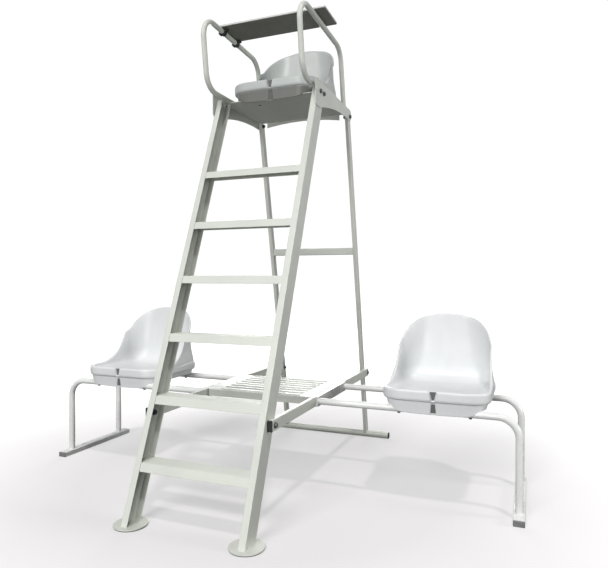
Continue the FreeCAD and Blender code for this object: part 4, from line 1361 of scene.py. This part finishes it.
BENCH_TUBE_Y, BENCH_TUBE_Z, BENCH_TUBE_R = bench_tube_axis("right_bench_front_tube")
BENCH_SEAT_X = middle_and_half("right_player_seat")[0].x
BENCH_SEAT_Y = BENCH_TUBE_Y - SEAT_HOLES_Y[0]
BENCH_SEAT_Z = BENCH_TUBE_Z + BENCH_TUBE_R
place_seat("umpire_bucket", "umpire_seat", GREY_SEAT, (0.0, UMPIRE_LO.y, UMPIRE_MOUNT_Z))
place_seat("right_bucket", "right_player_seat", WHITE_SEAT, (BENCH_SEAT_X, BENCH_SEAT_Y, BENCH_SEAT_Z))
place_seat("left_bucket", "left_player_seat", WHITE_SEAT, (-BENCH_SEAT_X, BENCH_SEAT_Y, BENCH_SEAT_Z))


# --- camera, light and floor ----------------------------------------------------------------

CAMERA_AT = (1.208, -2.556, 0.9745)
CAMERA_AZIMUTH = 22.0
CAMERA_ELEVATION = 0.6
LENS = 33.43


def aim(obj, direction):
    obj.rotation_euler = Vector(direction).to_track_quat("-Z", "Y").to_euler()


def add_camera():
    data = bpy.data.cameras.new("camera")
    data.lens = LENS
    data.sensor_width = 36.0
    data.clip_end = 200.0
    camera = linked("camera", data, CAMERA_AT)
    a = math.radians(CAMERA_AZIMUTH)
    e = math.radians(CAMERA_ELEVATION)
    aim(camera, (-math.sin(a) * math.cos(e), math.cos(a) * math.cos(e), -math.sin(e)))
    bpy.context.scene.camera = camera


def add_light(name, kind, energy, direction, at=(0, 0, 0), size=1.0, colour=(1, 1, 1)):
    data = bpy.data.lights.new(name, kind)
    data.energy = energy
    data.color = colour
    if kind == "SUN":
        data.angle = size
    else:
        data.size = size
    aim(linked(name, data, at), direction)


def add_world():
    """Even pale studio: a soft light for the object, white for the camera and mostly white in gloss."""
    world = bpy.data.worlds.new("studio")
    bpy.context.scene.world = world
    world.use_nodes = True
    nodes = world.node_tree.nodes
    links = world.node_tree.links
    output = nodes["World Output"]
    soft = filled(nodes["Background"], {"Color": (0.93, 0.96, 1.0, 1), "Strength": 0.15})
    white = filled(nodes.new("ShaderNodeBackground"), {"Color": (1, 1, 1, 1), "Strength": 1.05})
    path = nodes.new("ShaderNodeLightPath")
    white_share = nodes.new("ShaderNodeMath")
    white_share.operation = "MULTIPLY_ADD"
    links.new(path.outputs["Is Glossy Ray"], white_share.inputs[0])
    white_share.inputs[1].default_value = 0.75
    links.new(path.outputs["Is Camera Ray"], white_share.inputs[2])
    mix = nodes.new("ShaderNodeMixShader")
    links.new(white_share.outputs["Value"], mix.inputs["Fac"])
    links.new(soft.outputs["Background"], mix.inputs[1])
    links.new(white.outputs["Background"], mix.inputs[2])
    links.new(mix.outputs["Shader"], output.inputs["Surface"])


def add_floor():
    """White floor: it throws little light back up, its shadows stay pale, and for the camera it glows with
    painted light, dimmest near the chair.
    """
    bm = bmesh.new()
    bmesh.ops.create_circle(bm, cap_ends=True, segments=128, radius=60.0)
    mesh = bpy.data.meshes.new("floor")
    bm.to_mesh(mesh)
    bm.free()
    floor = linked("floor", mesh, (0, 0, -0.0004))
    material, nodes, links, shader, place = node_material("studio_floor")
    shader.inputs["Roughness"].default_value = 0.9
    shader.inputs["Specular IOR Level"].default_value = 0.0
    path = nodes.new("ShaderNodeLightPath")
    seen = path.outputs["Is Camera Ray"]
    paint = two_colours(nodes, links, seen, (0.16, 0.16, 0.16), (0.42, 0.405, 0.41))
    links.new(paint, shader.inputs["Base Color"])
    length = nodes.new("ShaderNodeVectorMath")
    length.operation = "LENGTH"
    links.new(place, length.inputs[0])
    # painted light: for the camera the floor glows, weakest within 0.9 m of the middle and full from 3 m out
    painted_glow_fade = ranged(nodes, links, length.outputs["Value"], 0.42, 1.0, 0.9, 3.0)
    level = nodes.new("ShaderNodeMath")
    level.operation = "MULTIPLY"
    links.new(seen, level.inputs[0])
    links.new(painted_glow_fade, level.inputs[1])
    painted_glow = filled(nodes.new("ShaderNodeEmission"), {"Color": (1, 1, 1, 1)})
    links.new(level.outputs["Value"], painted_glow.inputs["Strength"])
    add = nodes.new("ShaderNodeAddShader")
    links.new(shader.outputs["BSDF"], add.inputs[0])
    links.new(painted_glow.outputs["Emission"], add.inputs[1])
    links.new(add.outputs["Shader"], nodes["Material Output"].inputs["Surface"])
    mesh.materials.append(material)


add_camera()
add_world()
add_floor()
add_light("high_sun", "SUN", 0.85, (-0.25, 0.25, -1.0), size=math.radians(4.0), colour=(1.0, 0.98, 0.96))
add_light("front_key", "AREA", 720.0, (1.4, 9.4, -6.6), at=(-1.4, -9.4, 7.8), size=4.2)
add_light("front_fill", "AREA", 120.0, (-0.4, 6.0, -0.2), at=(0.4, -6.4, 1.1), size=2.2)
add_light("rear_fill", "AREA", 230.0, (2.6, -7.2, -2.2), at=(-2.6, 7.2, 3.2), size=3.5)
add_light("right_fill", "AREA", 130.0, (-6.0, -0.4, -0.8), at=(6.2, 0.4, 2.0), size=1.2)
bpy.context.scene.view_settings.view_transform = "Standard"
